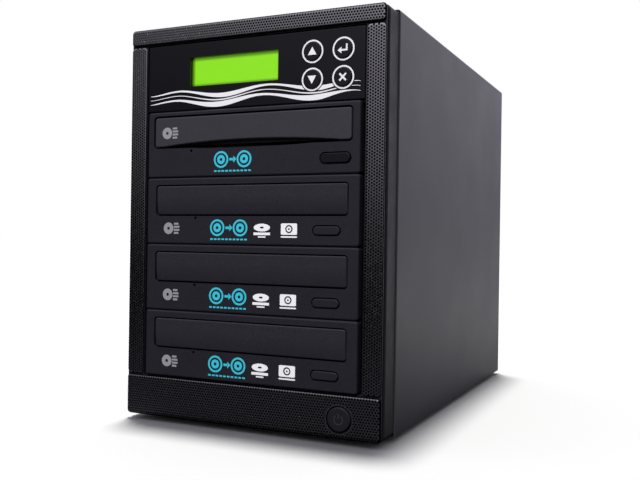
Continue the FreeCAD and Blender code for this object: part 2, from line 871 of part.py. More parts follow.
def build_control_panel():
    """Control panel with its window, screen, key board and keys."""
    face = f"({FRONT} + dims.panel_set)"
    rear = f"({face} + dims.panel_skin)"
    root = f"({rear} - {OVERLAP})"
    board = f"({face} + dims.board_set)"
    body = new_body("control_panel")
    grow(body, "XZ", face, "dims.panel_skin", panel_box("0"))
    soften(body, "dims.panel_corner", along="Y")
    soften(body, "dims.panel_corner", flat="-Y")
    grow(body, "XZ", root, "dims.panel_skirt", panel_box("dims.play"), panel_box("dims.panel_wall"))
    arm = box("dims.arm_outer - dims.panel_wall", level("arm_low"), "dims.arm_outer", level("arm_high"))
    grow(body, "XZ", root, "dims.arm_length", *mirrored([arm]))
    posts = []
    for across in ("dims.board_left + dims.board_inset", "dims.board_right - dims.board_inset"):
        for up in (f"{level('board_low')} + dims.board_inset", f"{level('board_high')} - dims.board_inset"):
            posts.append(disc(across, up, "dims.post"))
    for side in (-1, 1):
        for rise in (-1, 1):
            across = f"dims.screen_x + {side} * dims.screen_post_x"
            up = f"{level('screen_level')} + {rise} * dims.screen_post_z"
            posts.append(disc(across, up, "dims.screen_post"))
    grow(body, "XZ", root, f"{board} - {root}", *posts)
    holes = [disc(across, up, "dims.key_hole") for label, across, up in key_places()]
    carve(body, "XZ", face, "dims.panel_skin", screen_box("0"), *holes)
    rebate = "dims.window_thick + 2 * dims.window_ease"
    carve(body, "XZ", f"{rear} - ({rebate})", rebate, screen_box("dims.window_lip"))
    bolt = disc(*list(bay_screw_places())[-1], "dims.small_screw + dims.cage_ease")
    carve(body, "YZ", "-dims.panel_half", "2 * dims.panel_half", bolt)

    window = new_body("screen_window")
    pane = screen_box("dims.window_lip - 2 * dims.window_ease")
    grow(window, "XZ", f"{rear} - dims.window_thick - dims.window_ease", "dims.window_thick", pane)

    module = new_body("screen_module")
    glass = f"({rear} + 2 * dims.window_ease)"
    grow(module, "XZ", glass, f"{board} - {glass}", screen_box("dims.module_lip"))
    grow(module, "XZ", board, "dims.board_thick", screen_box("dims.module_board"))
    carve(module, "XZ", glass, "dims.module_recess", screen_box("dims.glass_ease"))

    keypad = new_body("keypad_board")
    outline = box("dims.board_left", level("board_low"), "dims.board_right", level("board_high"))
    grow(keypad, "XZ", board, "dims.board_thick", outline)
    bodies = [square(across, up, "dims.tact_half") for label, across, up in key_places()]
    stems = [disc(across, up, "dims.tact_stem") for label, across, up in key_places()]
    grow(keypad, "XZ", f"{board} - dims.tact_height", "dims.tact_height", *bodies)
    grow(keypad, "XZ", f"{board} - dims.tact_top", "dims.tact_top", *stems)

    for label, across, up in key_places():
        key = new_body(label)
        turned_button(key, "key", "dims.key_stub")
        place(key, across, face, up)


def build_power_button():
    """Round push button in the bottom bar and the switch behind it."""
    across = "dims.power_x"
    up = level("power_level")
    button = new_body("power_button")
    turned_button(button, "power", "dims.power_stub")
    place(button, across, FRONT, up)
    switch = new_body("power_switch")
    start = f"({FRONT} + dims.switch_set)"
    grow(switch, "XZ", start, f"{JOIN} - {start}", square(across, up, "dims.switch_half"))
    plunger = f"({FRONT} + dims.switch_plunger)"
    grow(switch, "XZ", plunger, f"{start} - {plunger} + {OVERLAP}", disc(across, up, "dims.power_stub"))


def bay_foot(bay):
    """Height of the underside of a drive in a bay."""
    return f"({BAY} + {bay} * dims.bay_pitch)"


def bay_screw_places():
    """Y and Z of every screw that holds a drive, and last of the one that holds the control panel."""
    for bay in range(len(DRIVES)):
        for end in ("front", "rear"):
            yield f"{FACE} + dims.screw_{end}", f"{bay_foot(bay)} + dims.screw_level"
    yield f"{FACE} + dims.screw_front", f"{bay_foot(len(DRIVES))} + dims.screw_level"


def logic_places():
    """Y and Z of the four spacers of the controller board."""
    for end in ("near", "far"):
        for rise in ("low", "high"):
            yield f"dims.logic_{end}_y", level(f"logic_{rise}")


def build_cage(label, side, rear):
    """Side plate that carries the drives, with a foot flange turned outwards."""
    body = new_body(label)
    deck = level("gauge")
    near = f"({JOIN} + dims.cage_plate)"
    inner = "(dims.case_half + dims.cage_ease)"
    start = inner if side > 0 else f"(-{inner} - dims.cage_plate)"
    grow(body, "YZ", start, "dims.cage_plate", box(near, deck, rear, f"{LINTEL} - dims.cage_plate"))
    edges = (inner, "dims.cage_flange") if side > 0 else ("-dims.cage_flange", f"-{inner}")
    grow(body, "XY", deck, "dims.cage_plate", box(edges[0], near, edges[1], rear))
    holes = [disc(along, up, "dims.small_screw + dims.play") for along, up in bay_screw_places()]
    for bay in range(len(DRIVES)):
        low = f"{bay_foot(bay)} + dims.cage_window_low"
        high = f"{bay_foot(bay)} + dims.cage_window_high"
        holes.append(box(f"{FACE} + dims.cage_window_near", low, f"{FACE} + dims.cage_window_far", high))
    if side < 0:
        holes += [disc(along, up, "dims.small_screw + dims.play") for along, up in logic_places()]
    carve(body, "YZ", start, "dims.cage_plate", *holes)


def build_drive_screws():
    """Pan-head screws through the cage plates into the drives."""
    body = new_body("drive_screws")
    heads = [disc(along, up, "dims.screw_head") for along, up in bay_screw_places()]
    shanks = [disc(along, up, "dims.small_screw") for along, up in bay_screw_places()]
    outer = "(dims.case_half + dims.cage_ease + dims.cage_plate)"
    tip = "(dims.case_half - dims.screw_reach)"
    grow(body, "YZ", f"-{outer} - dims.screw_head_height", "dims.screw_head_height", *heads)
    grow(body, "YZ", outer, "dims.screw_head_height", *heads)
    grow(body, "YZ", f"-{outer}", f"{outer} - {tip}", *shanks)
    grow(body, "YZ", tip, f"{outer} - {tip}", *shanks)


def build_controller():
    """Controller board on spacers beside the rear fan."""
    spacers = new_body("board_spacers")
    wall = "(-dims.case_half - dims.cage_ease)"
    pillars = [disc(along, up, "dims.spacer") for along, up in logic_places()]
    grow(spacers, "YZ", wall, f"dims.logic_x - {wall}", *pillars)
    board = new_body("controller_board")
    margin = "dims.logic_margin"
    low = f"{level('logic_low')} - {margin}"
    high = f"{level('logic_high')} + {margin}"
    outline = box(f"dims.logic_near_y - {margin}", low, f"dims.logic_far_y + {margin}", high)
    grow(board, "YZ", "dims.logic_x", "dims.board_thick", outline)
    surface = f"(dims.logic_x + dims.board_thick - {OVERLAP})"
    chip = square("dims.chip_middle_y", level("chip_middle"), "dims.chip_half")
    grow(board, "YZ", surface, "dims.chip_height", chip)
    (near, foot), (_, head) = chip[0], chip[2]
    blade = box(near, foot, f"{near} + dims.fin", head)
    fin = grow(board, "YZ", surface, "dims.chip_height + dims.fin_height", blade)
    repeat(board, fin, "Y", "2 * dims.chip_half - dims.fin", FINS)
    low = level("header_low")
    far = "dims.header_near_y + dims.header_wide"
    socket = box("dims.header_near_y", low, far, f"{low} + dims.header_tall")
    header = grow(board, "YZ", surface, "dims.header_height", socket)
    repeat(board, header, "Z", "dims.header_run", HEADERS)


def eject_box(kind, margin):
    """Rectangle of the eject button, larger by a margin."""
    long = f"(dims.{kind}_eject_length / 2 + {margin})"
    tall = f"(dims.{kind}_eject_height / 2 + {margin})"
    middle = f"dims.{kind}_eject_x"
    low = f"dims.eject_level - {tall}"
    return box(f"{middle} - {long}", low, f"{middle} + {long}", f"dims.eject_level + {tall}")


def eject_window(kind):
    """Area round the eject button, for picking its edges."""
    middle = size(f"{kind}_eject_x")
    long = size(f"{kind}_eject_length") / 2 + 2 * size("eject_gap")
    tall = size(f"{kind}_eject_height") / 2 + 2 * size("eject_gap")
    height = size("eject_level")
    return middle - long, height - tall, middle + long, height + tall


def door_box(kind, margin):
    """Rectangle of the tray door, larger by a margin."""
    half = f"dims.{kind}_door_width / 2 + {margin}"
    return wide_box(half, f"dims.{kind}_door_bottom - {margin}", f"dims.{kind}_door_top + {margin}")


def door_window(kind):
    """Area round the tray door, for picking the edges of its opening."""
    gap = 2 * size(f"{kind}_door_gap")
    half = size(f"{kind}_door_width") / 2 + gap
    return -half, size(f"{kind}_door_bottom") - gap, half, size(f"{kind}_door_top") + gap


def build_drive_case(label):
    """Folded metal case of a drive, open to the front, with the plug opening at the rear."""
    case = new_body(f"{label}_case")
    outline = wide_box("dims.case_half", "dims.case_low", "dims.case_high")
    grow(case, "XZ", "dims.face_depth", "dims.drive_length", outline)
    soften(case, "dims.case_corner", along="Y")
    inner = "dims.case_half - dims.gauge"
    hollow = wide_box(inner, "dims.case_low + dims.gauge", "dims.case_high - dims.gauge")
    carve(case, "XZ", "dims.face_depth", "dims.drive_length - dims.gauge", hollow)
    threads = [disc(f"dims.screw_{end}", "dims.screw_level", "dims.small_screw + dims.cage_ease")
               for end in ("front", "rear")]
    carve(case, "YZ", "-dims.case_half", "2 * dims.case_half", *threads)
    plug = box("dims.plug_left", "dims.plug_low", "dims.plug_right", "dims.plug_high")
    carve(case, "XZ", "dims.drive_length", "dims.face_depth", plug)
    return case


def build_drive_face(label, kind):
    """Moulded face of a drive with the door opening, the button's slot and the release hole."""
    gap = f"dims.{kind}_door_gap"
    half = "dims.face_width / 2"
    face = new_body(f"{label}_face")
    grow(face, "XZ", "0", "dims.face_depth", wide_box(half, "0", "dims.face_height"))
    soften(face, "dims.face_corner", along="Y")
    soften(face, "dims.face_edge", flat="-Y")
    carve(face, "XZ", "0", "dims.face_depth", door_box(kind, gap))
    soften(face, f"dims.door_corner + {gap}", along="Y", window=door_window(kind))
    relief = wide_box(f"{half} - dims.face_wall", "dims.face_wall", f"dims.{kind}_band")
    carve(face, "XZ", "dims.face_skin", "dims.face_depth", relief)
    carve(face, "XZ", "0", "dims.face_depth", eject_box(kind, "dims.eject_gap"))
    slot_round = f"{ROUND_END} * (dims.{kind}_eject_height + 2 * dims.eject_gap)"
    soften(face, slot_round, along="Y", window=eject_window(kind))
    carve(face, "XZ", "0", "dims.face_depth", disc(f"dims.{kind}_pin_x", "dims.pin_level", "dims.pin_hole"))
    if kind == "reader":
        carve(face, "XZ", "0", "dims.scoop_depth", ("bow", "scoop_half", "reader_door_bottom", "-scoop_sag"))
    return face


def build_loader(label):
    """Loader bed of a drive with the rails of the tray and the bearing of the turntable."""
    loader = new_body(f"{label}_loader")
    right = [
        ("dims.loader_half", "dims.loader_low"), ("dims.loader_half", "dims.loader_top"),
        ("dims.rail_half", "dims.loader_top"), ("dims.rail_half", "dims.rail_level"),
        ("dims.bed_half", "dims.rail_level"), ("dims.bed_half", "dims.bed_level"),
    ]
    left = [(f"-{across}", up) for across, up in reversed(right)]
    grow(loader, "XZ", f"dims.face_depth + {OVERLAP}", "dims.drive_length - dims.plug_wall", right + left)
    core = box("dims.rail_core_inner", "dims.rail_core_near", "dims.rail_core_outer", "dims.rail_core_far")
    carve(loader, "XY", "dims.loader_low", "dims.rail_core_top - dims.loader_low", *mirrored([core]))
    motor = disc("0", "dims.well_centre", "dims.motor_diameter")
    grow(loader, "XY", f"dims.bed_level - {OVERLAP}", f"dims.motor_top - dims.bed_level + {OVERLAP}", motor)
    bore = disc("0", "dims.well_centre", "dims.shaft + dims.shaft_play")
    carve(loader, "XY", f"dims.shaft_foot - {OVERLAP}", "dims.motor_top", bore)
    left_end = "dims.plug_left + dims.plug_wall"
    right_end = "dims.plug_right - dims.plug_wall"
    plug = box(left_end, "dims.bed_level - dims.play", right_end, "dims.plug_high - 2 * dims.play")
    grow(loader, "XZ", "dims.drive_length", "dims.face_depth + 2 * dims.play", plug)
    return loader


def build_spindle(label):
    """Turntable of a drive with its centring cone, in its lowered place."""
    spindle = new_body(f"{label}_spindle")
    shaft = "dims.shaft / 2"
    spin(spindle, "XZ", [
        ("0", "dims.shaft_foot"), (shaft, "dims.shaft_foot"), (shaft, "dims.table_low"),
        ("dims.table_radius", "dims.table_low"), ("dims.table_radius", "dims.table_high"),
        ("dims.cone_foot", "dims.table_high"), ("dims.cone_shoulder", "dims.cone_top - dims.cone_bevel"),
        ("dims.cone_head", "dims.cone_top"), ("0", "dims.cone_top"),
    ])
    place(spindle, "0", f"{FACE} + dims.well_centre", bay_foot(BAYS[label]))


def build_tray(label):
    """Disc tray with its stepped wells, the turntable window and side skirts."""
    tray = new_body(f"{label}_tray")
    half = "dims.tray_half"
    right = [("dims.tray_skirt", "dims.tray_foot"), (half, "dims.tray_foot"), (half, "dims.tray_top")]
    left = [(f"-{across}", up) for across, up in reversed(right)]
    ceiling = [("-dims.tray_skirt", "dims.tray_under"), ("dims.tray_skirt", "dims.tray_under")]
    grow(tray, "XZ", "dims.door_depth", "dims.tray_length", right + left + ceiling)
    apron = wide_box(f"dims.tray_skirt + {OVERLAP}", "dims.tray_foot", f"dims.tray_under + {OVERLAP}")
    grow(tray, "XZ", "dims.door_depth", "dims.tray_apron", apron)
    wells = (("well_floor", "well_diameter"), ("small_well_floor", "small_well_diameter"),
             ("tray_foot", "spindle_window"))
    for floor, diameter in wells:
        well = disc("0", "dims.well_centre", f"dims.{diameter}")
        carve(tray, "XY", f"dims.{floor}", f"dims.tray_top - dims.{floor}", well)
    slot = box("-dims.slot_half", "dims.well_centre", "dims.slot_half", "dims.slot_end")
    carve(tray, "XY", "dims.tray_foot", "dims.tray_top - dims.tray_foot", slot)
    return tray


def build_door(label, kind):
    """Tray door; the reader's is arched along its lower edge, a writer's bows back towards its foot."""
    door = new_body(f"{label}_door")
    grow(door, "XZ", "0", "dims.door_depth", door_box(kind, "0"))
    soften(door, "dims.door_corner", along="Y")
    if kind == "reader":
        carve(door, "XZ", "0", "dims.door_depth", ("bow", "arch_half", "reader_door_bottom", "arch_rise"))
    else:
        half = "dims.writer_door_width / 2"
        carve(door, "YZ", f"-{half}", f"2 * {half}", ("brow", "brow_ridge", "brow_foot", "brow_fall"))
    soften(door, "dims.door_edge", flat="-Y")
    return door


def build_eject(label, kind):
    """Eject button with a hidden flange."""
    eject = new_body(f"{label}_eject")
    grow(eject, "XZ", "-dims.eject_proud", "dims.eject_proud + dims.eject_depth", eject_box(kind, "0"))
    soften(eject, f"{ROUND_END} * dims.{kind}_eject_height", along="Y")
    soften(eject, "dims.eject_edge", flat="-Y")
    flange = eject_box(kind, "dims.eject_flange")
    start = "dims.face_skin + dims.eject_ease"
    grow(eject, "XZ", start, f"dims.eject_depth - ({start}) + {OVERLAP}", flange)
    return eject


def build_drive(label):
    """One half-height optical drive in its bay."""
    kind = label.split("_")[0]
    pieces = [build_drive_case(label), build_drive_face(label, kind), build_loader(label), build_tray(label),
              build_door(label, kind), build_eject(label, kind)]
    for body in pieces:
        place(body, "0", FACE, bay_foot(BAYS[label]))
    build_spindle(label)


def build_supply():
    """Power supply housing with its mains inlet, contact pins and rocker switch."""
    near = f"({PANEL} - dims.supply_length)"
    wall = "dims.supply_wall"
    case = new_body("supply_case")
    shell = wide_box("dims.supply_half", level("supply_low"), level("supply_high"))
    grow(case, "XZ", near, "dims.supply_length", shell)
    floor = f"{level('supply_low')} + {wall}"
    hollow = wide_box(f"dims.supply_half - {wall}", floor, f"{level('supply_high')} - {wall}")
    carve(case, "XZ", near, f"dims.supply_length - {wall}", hollow)
    grille = wide_box("dims.supply_grille", level("supply_grille_low"), level("supply_grille_high"))
    grow(case, "XZ", near, wall, shell, grille)
    middle = "dims.inlet_x"
    low = f"{level('inlet_low')} + dims.inlet_lip"
    high = f"{level('inlet_high')} - dims.inlet_lip"
    ease = "dims.play"
    cutout = box(f"{middle} - dims.inlet_body - {ease}", f"{low} - {ease}",
                 f"{middle} + dims.inlet_body + {ease}", f"{high} + {ease}")
    rear = f"{PANEL} - {wall}"
    carve(case, "XZ", rear, wall, cutout, *supply_screw_discs("dims.small_screw + dims.play"))
    left = "dims.supply_slot_left"
    slot = carve(case, "XZ", rear, wall, box(left, low, f"{left} + dims.supply_slot_width", high))
    repeat(case, slot, "X", "dims.supply_slot_run", SUPPLY_SLOTS)

    inlet = new_body("mains_inlet")
    right = f"{middle} + dims.inlet_plate"
    plate = box(f"{middle} - dims.inlet_plate", level("inlet_low"), right, level("inlet_high"))
    grow(inlet, "XZ", PANEL, "dims.inlet_lip", plate)
    soften(inlet, "dims.inlet_lip", along="Y")
    soften(inlet, "dims.inlet_edge", flat="+Y")
    block = box(f"{middle} - dims.inlet_body", low, f"{middle} + dims.inlet_body", high)
    grow(inlet, "XZ", f"{PANEL} - dims.inlet_depth", "dims.inlet_depth", block)
    foot = f"{level('socket_level')} - dims.socket_rise"
    head = f"{level('socket_level')} + dims.socket_rise"
    shoulder = f"{head} - dims.socket_bevel"
    narrow = "(dims.socket_half - dims.socket_bevel)"
    socket = [
        (f"{middle} - dims.socket_half", foot), (f"{middle} + dims.socket_half", foot),
        (f"{middle} + dims.socket_half", shoulder), (f"{middle} + {narrow}", head),
        (f"{middle} - {narrow}", head), (f"{middle} - dims.socket_half", shoulder),
    ]
    carve(inlet, "XZ", f"{PANEL} - dims.socket_depth", "dims.socket_depth + dims.inlet_lip", socket)
    axle = (f"{PANEL} - dims.rocker_set", level("rocker_level"))
    wide = "(dims.rocker_half + dims.rocker_ease)"
    tall = "(dims.rocker_rise + dims.rocker_rise_ease)"
    well = box(f"{middle} - {wide}", f"{axle[1]} - {tall}", f"{middle} + {wide}", f"{axle[1]} + {tall}")
    carve(inlet, "XZ", f"{PANEL} - dims.rocker_well", "dims.rocker_well + dims.inlet_lip", well)
    bearing = "(dims.rocker_pin + dims.rocker_pin_play)"
    bore = disc(*axle, "dims.shaft + dims.shaft_play")
    carve(inlet, "YZ", f"{middle} - {bearing}", f"2 * {bearing}", bore)

    pins = new_body("inlet_pins")
    blades = []
    for side, rise in ((-1, -1), (1, -1), (0, 1)):
        across = f"{middle} + {side} * dims.pin_spread"
        up = f"{level('socket_level')} + {rise} * dims.pin_drop"
        blades.append(box(f"{across} - dims.pin_half", f"{up} - dims.pin_rise",
                          f"{across} + dims.pin_half", f"{up} + dims.pin_rise"))
    grow(pins, "XZ", f"{PANEL} - dims.socket_depth", "dims.pin_length", *blades)

    rocker = new_body("mains_rocker")
    draw = "(dims.rocker_rise - dims.rocker_draw)"
    paddle = [
        ("dims.rocker_tip", "dims.rocker_rise"), ("dims.rocker_dip", "0"),
        ("dims.rocker_tip", "-dims.rocker_rise"), ("-dims.rocker_back", f"-{draw}"),
        ("-dims.rocker_keel", "0"), ("-dims.rocker_back", draw),
    ]
    grow(rocker, "YZ", "-dims.rocker_half", "2 * dims.rocker_half", paddle)
    grow(rocker, "YZ", "-dims.rocker_pin", "2 * dims.rocker_pin", disc("0", "0", "dims.shaft"))
    place(rocker, middle, *axle)
    rocker.Placement.Rotation = FreeCAD.Rotation(FreeCAD.Vector(1, 0, 0), size("rocker_tilt"))


def blade_section(rotor, end):
    """Sketch of a fan blade's section at its root or tip, leaning by its pitch."""
    pitch = math.radians(size(f"blade_{end}_pitch"))
    run = FreeCAD.Vector(math.cos(pitch), math.sin(pitch), 0)
    over = FreeCAD.Vector(-run.y, run.x, 0)
    middle = FreeCAD.Vector(size("blade_middle"), 0, 0)
    half = size(f"blade_{end}_chord") / 2
    thick = size("blade_thick") / 2
    corners = []
    for along, side in ((-1, -1), (1, -1), (1, 1), (-1, 1)):
        point = middle + run * (along * half) + over * (side * thick)
        corners.append((f"{point.x:.4f}", f"{point.y:.4f}"))
    return new_sketch(rotor, "YZ", f"dims.blade_{end}", [corners])


def build_fan():
    """Axial exhaust fan: frame with a strut cross, and a rotor with seven twisted blades."""
    near = f"({PANEL} - dims.fan_depth)"
    up = level("fan_level")
    frame = new_body("fan_frame")
    grow(frame, "XZ", near, "dims.fan_depth", square("0", up, "dims.fan_half"))
    soften(frame, "dims.fan_corner", along="Y")
    duct = disc("0", up, "dims.fan_duct")
    carve(frame, "XZ", near, "dims.fan_depth", duct, *corner_discs("dims.fan_screw + dims.play"))
    half = "dims.fan_strut / 2"
    reach = "dims.fan_strut_half"
    grow(frame, "XZ", near, "dims.fan_strut", wide_box(reach, f"{up} - {half}", f"{up} + {half}"))
    grow(frame, "XZ", near, "dims.fan_strut", wide_box(half, f"{up} - {reach}", f"{up} + {reach}"))
    grow(frame, "XZ", near, "dims.fan_hub_depth", disc("0", up, "dims.fan_hub"))
    bore = disc("0", up, "dims.shaft + dims.shaft_play")
    carve(frame, "XZ", f"{near} + dims.fan_base", "dims.fan_hub_depth", bore)

    rotor = new_body("fan_rotor")
    shaft = "dims.shaft / 2"
    hub = "dims.fan_hub / 2"
    spin(rotor, "XY", [
        ("0", "dims.rotor_foot"), (shaft, "dims.rotor_foot"), (shaft, "dims.rotor_low"),
        (hub, "dims.rotor_low"), (hub, "dims.rotor_high - dims.rotor_edge"),
        (f"{hub} - dims.rotor_edge", "dims.rotor_high"), ("0", "dims.rotor_high"),
    ])
    root = blade_section(rotor, "root")
    tip = blade_section(rotor, "tip")
    blade = rotor.newObject("PartDesign::AdditiveLoft", "fan_blade")
    blade.Profile = root
    blade.Sections = [tip]
    ring = rotor.newObject("PartDesign::PolarPattern", "fan_blades")
    ring.Originals = [blade]
    ring.Axis = (origin_part(rotor, "Y_Axis"), [""])
    ring.Angle = 360
    ring.Occurrences = BLADES
    rotor.Tip = ring
    place(rotor, "0", near, up)


def add_wire_ring(name, across, back, up, radius):
    """Ring of round wire that faces the rear."""
    ring = doc.addObject("Part::Torus", name)
    ring.setExpression("Radius1", radius)
    ring.setExpression("Radius2", "dims.guard_wire")
    ring.Placement.Rotation = FreeCAD.Rotation(FreeCAD.Vector(1, 0, 0), 90)
    place(ring, across, back, up)
    return ring


def build_guard():
    """Welded wire guard over the fan opening."""
    bar_level = f"({SKIN} + dims.guard_wire)"
    up = level("fan_level")
    pieces = []
    for step in range(GUARD_RINGS):
        radius = f"dims.guard_first + {step} * dims.guard_step"
        pieces.append(add_wire_ring("guard_ring", "0", f"{bar_level} + dims.guard_stand", up, radius))
    for side in (-1, 1):
        for rise in (-1, 1):
            across = f"{side} * dims.fan_hole_half"
            height = f"{up} + {rise} * dims.fan_hole_half"
            pieces.append(add_wire_ring("guard_eye", across, bar_level, height, "dims.guard_eye"))
    reach = "(dims.fan_hole_half * sqrt(2) - dims.guard_end)"
    for turn in (45, 135):
        bar = doc.addObject("Part::Cylinder", "guard_bar")
        bar.setExpression("Radius", "dims.guard_wire")
        bar.setExpression("Height", f"2 * {reach}")
        lean = math.radians(turn)
        bar.Placement.Rotation = FreeCAD.Rotation(FreeCAD.Vector(0, 1, 0), turn)
        place(bar, f"-{reach} * {math.sin(lean)}", bar_level, f"{up} - {reach} * {math.cos(lean)}")
        pieces.append(bar)
    guard = doc.addObject("Part::MultiFuse", "fan_guard")
    guard.Label = "fan_guard"
    guard.Shapes = pieces
    nodes.append(guard)


def build_rear_fasteners():
    """Fan and supply screws, thumbscrews of the cover, and the feet."""
    screws = new_body("rear_screws")
    seat = f"({SKIN} + 2 * dims.guard_wire)"
    grow(screws, "XZ", seat, "dims.rear_head_height", *corner_discs("dims.fan_screw_head"))
    shanks = corner_discs("dims.fan_screw")
    grow(screws, "XZ", f"{seat} - dims.fan_screw_length", "dims.fan_screw_length", *shanks)
    grow(screws, "XZ", SKIN, "dims.rear_head_height", *supply_screw_discs("dims.supply_screw_head"))
    short_shanks = supply_screw_discs("dims.small_screw")
    grow(screws, "XZ", f"{SKIN} - dims.rear_shank", "dims.rear_shank", *short_shanks)

    thumbs = new_body("cover_thumbscrews")
    grow(thumbs, "XZ", BACK, "dims.thumb_head", *thumb_discs("dims.thumb_diameter"))
    grow(thumbs, "XZ", f"{BACK} - dims.rear_shank", "dims.rear_shank", *thumb_discs("dims.small_screw"))

    feet = new_body("feet")
    base = grow(feet, "XY", "0", FLOOR, *foot_discs("dims.foot_diameter"))
    base.TaperAngle = FOOT_TAPER
    soften(feet, "dims.foot_round", flat="-Z")
    stems = foot_discs("dims.foot_stem")
    grow(feet, "XY", f"{FLOOR} - {OVERLAP}", f"dims.foot_stem_length + {OVERLAP}", *stems)


def write_out():
    """Check every sub-part and write each one to its own file."""
    doc.recompute()
    faults = [item.Label for item in doc.Objects if "Invalid" in item.State or "Error" in item.State]
    for node in nodes:
        if node.Shape.isNull() or not node.Shape.isValid() or not node.Shape.Solids:
            faults.append(node.Label)
    if faults:
        raise RuntimeError("faulty sub-parts: " + ", ".join(faults))
    os.makedirs("parts", exist_ok=True)
    for node in nodes:
        node.Shape.exportStep(f"parts/{node.Label}.step")
        bounds = node.Shape.BoundBox
        low = [round(value, 2) for value in (bounds.XMin, bounds.YMin, bounds.ZMin)]
        high = [round(value, 2) for value in (bounds.XMax, bounds.YMax, bounds.ZMax)]
        print(node.Label, len(node.Shape.Solids), round(node.Shape.Volume, 1), low, high)
    print(len(nodes), "nodes")


def main():
    """Build the tower from the cabinet to the feet."""
    build_chassis()
    build_rear_panel()
    build_cover()
    build_bezel()
    build_inserts()
    build_control_panel()
    build_power_button()
    build_cage("drive_cage_left", -1, "dims.cage_left_rear")
    build_cage("drive_cage_right", 1, "dims.cage_right_rear")
    build_drive_screws()
    build_controller()
    for label in DRIVES:
        build_drive(label)
    build_supply()
    build_fan()
    build_guard()
    build_rear_fasteners()
    write_out()


main()
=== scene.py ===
"""Looks of a disc duplicator tower, built around its packed construction model."""

import json
import logging
import math
from dataclasses import dataclass, field
from enum import Enum

import bmesh
import bpy
from mathutils import Matrix, Vector


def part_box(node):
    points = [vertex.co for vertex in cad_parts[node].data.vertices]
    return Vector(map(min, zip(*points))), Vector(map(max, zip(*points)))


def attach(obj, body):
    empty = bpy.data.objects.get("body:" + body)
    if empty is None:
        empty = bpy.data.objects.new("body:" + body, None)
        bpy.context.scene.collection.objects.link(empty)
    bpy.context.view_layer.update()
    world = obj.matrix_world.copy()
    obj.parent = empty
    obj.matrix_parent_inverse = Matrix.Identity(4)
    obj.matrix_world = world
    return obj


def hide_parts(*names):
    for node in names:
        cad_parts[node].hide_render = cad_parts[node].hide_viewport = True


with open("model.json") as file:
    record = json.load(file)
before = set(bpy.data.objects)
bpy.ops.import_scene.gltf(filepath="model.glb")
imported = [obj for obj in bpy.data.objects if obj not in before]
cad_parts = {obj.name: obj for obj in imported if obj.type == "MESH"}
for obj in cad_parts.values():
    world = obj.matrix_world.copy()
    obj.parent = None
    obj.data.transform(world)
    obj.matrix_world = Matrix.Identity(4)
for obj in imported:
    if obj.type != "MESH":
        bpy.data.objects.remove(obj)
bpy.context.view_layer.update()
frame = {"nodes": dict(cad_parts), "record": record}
NODES = frame["nodes"]
LOG = logging.getLogger("tower")
MM = 0.001
FULL_TURN = 2 * math.pi
# The signs of the four corners of a rectangle, anticlockwise from the lower left.
CORNERS = ((-1, -1), (1, -1), (1, 1), (-1, 1))
# The sockets of a mix node share their names, so they go by number.
FACTOR = 0
VALUE_A, VALUE_B, VALUE_OUT = 2, 3, 0
COLOUR_A, COLOUR_B, COLOUR_OUT = 6, 7, 2
# A noise node's values mostly lie between these.
GRAIN_SPAN = (0.3, 0.7)
# Points around a small printed ring.
SMALL_STEPS = 32
# Keeps a divisor off zero.
LEAST = 0.001

Point = tuple[float, float]
Point3 = tuple[float, float, float]
Colour = tuple[float, float, float, float]
Socket = bpy.types.NodeSocket


def linear(code: str) -> Colour:
    """Turns an sRGB hex colour into linear light.

    Args:
        code: colour written as #rrggbb.

    Returns:
        Linear red, green and blue with full opacity.
    """
    parts = [int(code[at:at + 2], 16) / 255 for at in (1, 3, 5)]
    red, green, blue = (p / 12.92 if p <= 0.04045 else ((p + 0.055) / 1.055) ** 2.4 for p in parts)
    return red, green, blue, 1.0


def scaled(code: str, factor: float) -> Colour:
    """Gives an sRGB hex colour in linear light, made brighter or darker by a factor."""
    red, green, blue, alpha = linear(code)
    return red * factor, green * factor, blue * factor, alpha


def add_node(tree: bpy.types.NodeTree, kind: str, settings: dict | None = None,
             links: dict | None = None) -> bpy.types.Node:
    """Adds one node with its settings and links.

    Args:
        tree: node tree that gets the node.
        kind: Blender's name of the node's type.
        settings: values by property name, or by the name or number of an input.
        links: outputs of other nodes by the name or number of an input.

    Returns:
        The new node.
    """
    node = tree.nodes.new(kind)
    for key, value in (settings or {}).items():
        if isinstance(key, str) and hasattr(node, key):
            setattr(node, key, value)
        else:
            node.inputs[key].default_value = value
    for key, source in (links or {}).items():
        tree.links.new(source, node.inputs[key])
    return node


@dataclass(frozen=True)
class Slope:
    """A run from a low to a high value while a measure goes from its start to its end."""

    start: float
    end: float
    low: float = 0.0
    high: float = 1.0

    def settings(self) -> dict[str, float]:
        """Gives the run in the words of a map range node."""
        return {"From Min": self.start, "From Max": self.end, "To Min": self.low, "To Max": self.high}


@dataclass(frozen=True)
class Grain:
    """A random pattern: its real width, its finer octaves and how it is packed along each axis."""

    size_mm: float
    octaves: float = 2.0
    pack: Point3 = (1.0, 1.0, 1.0)


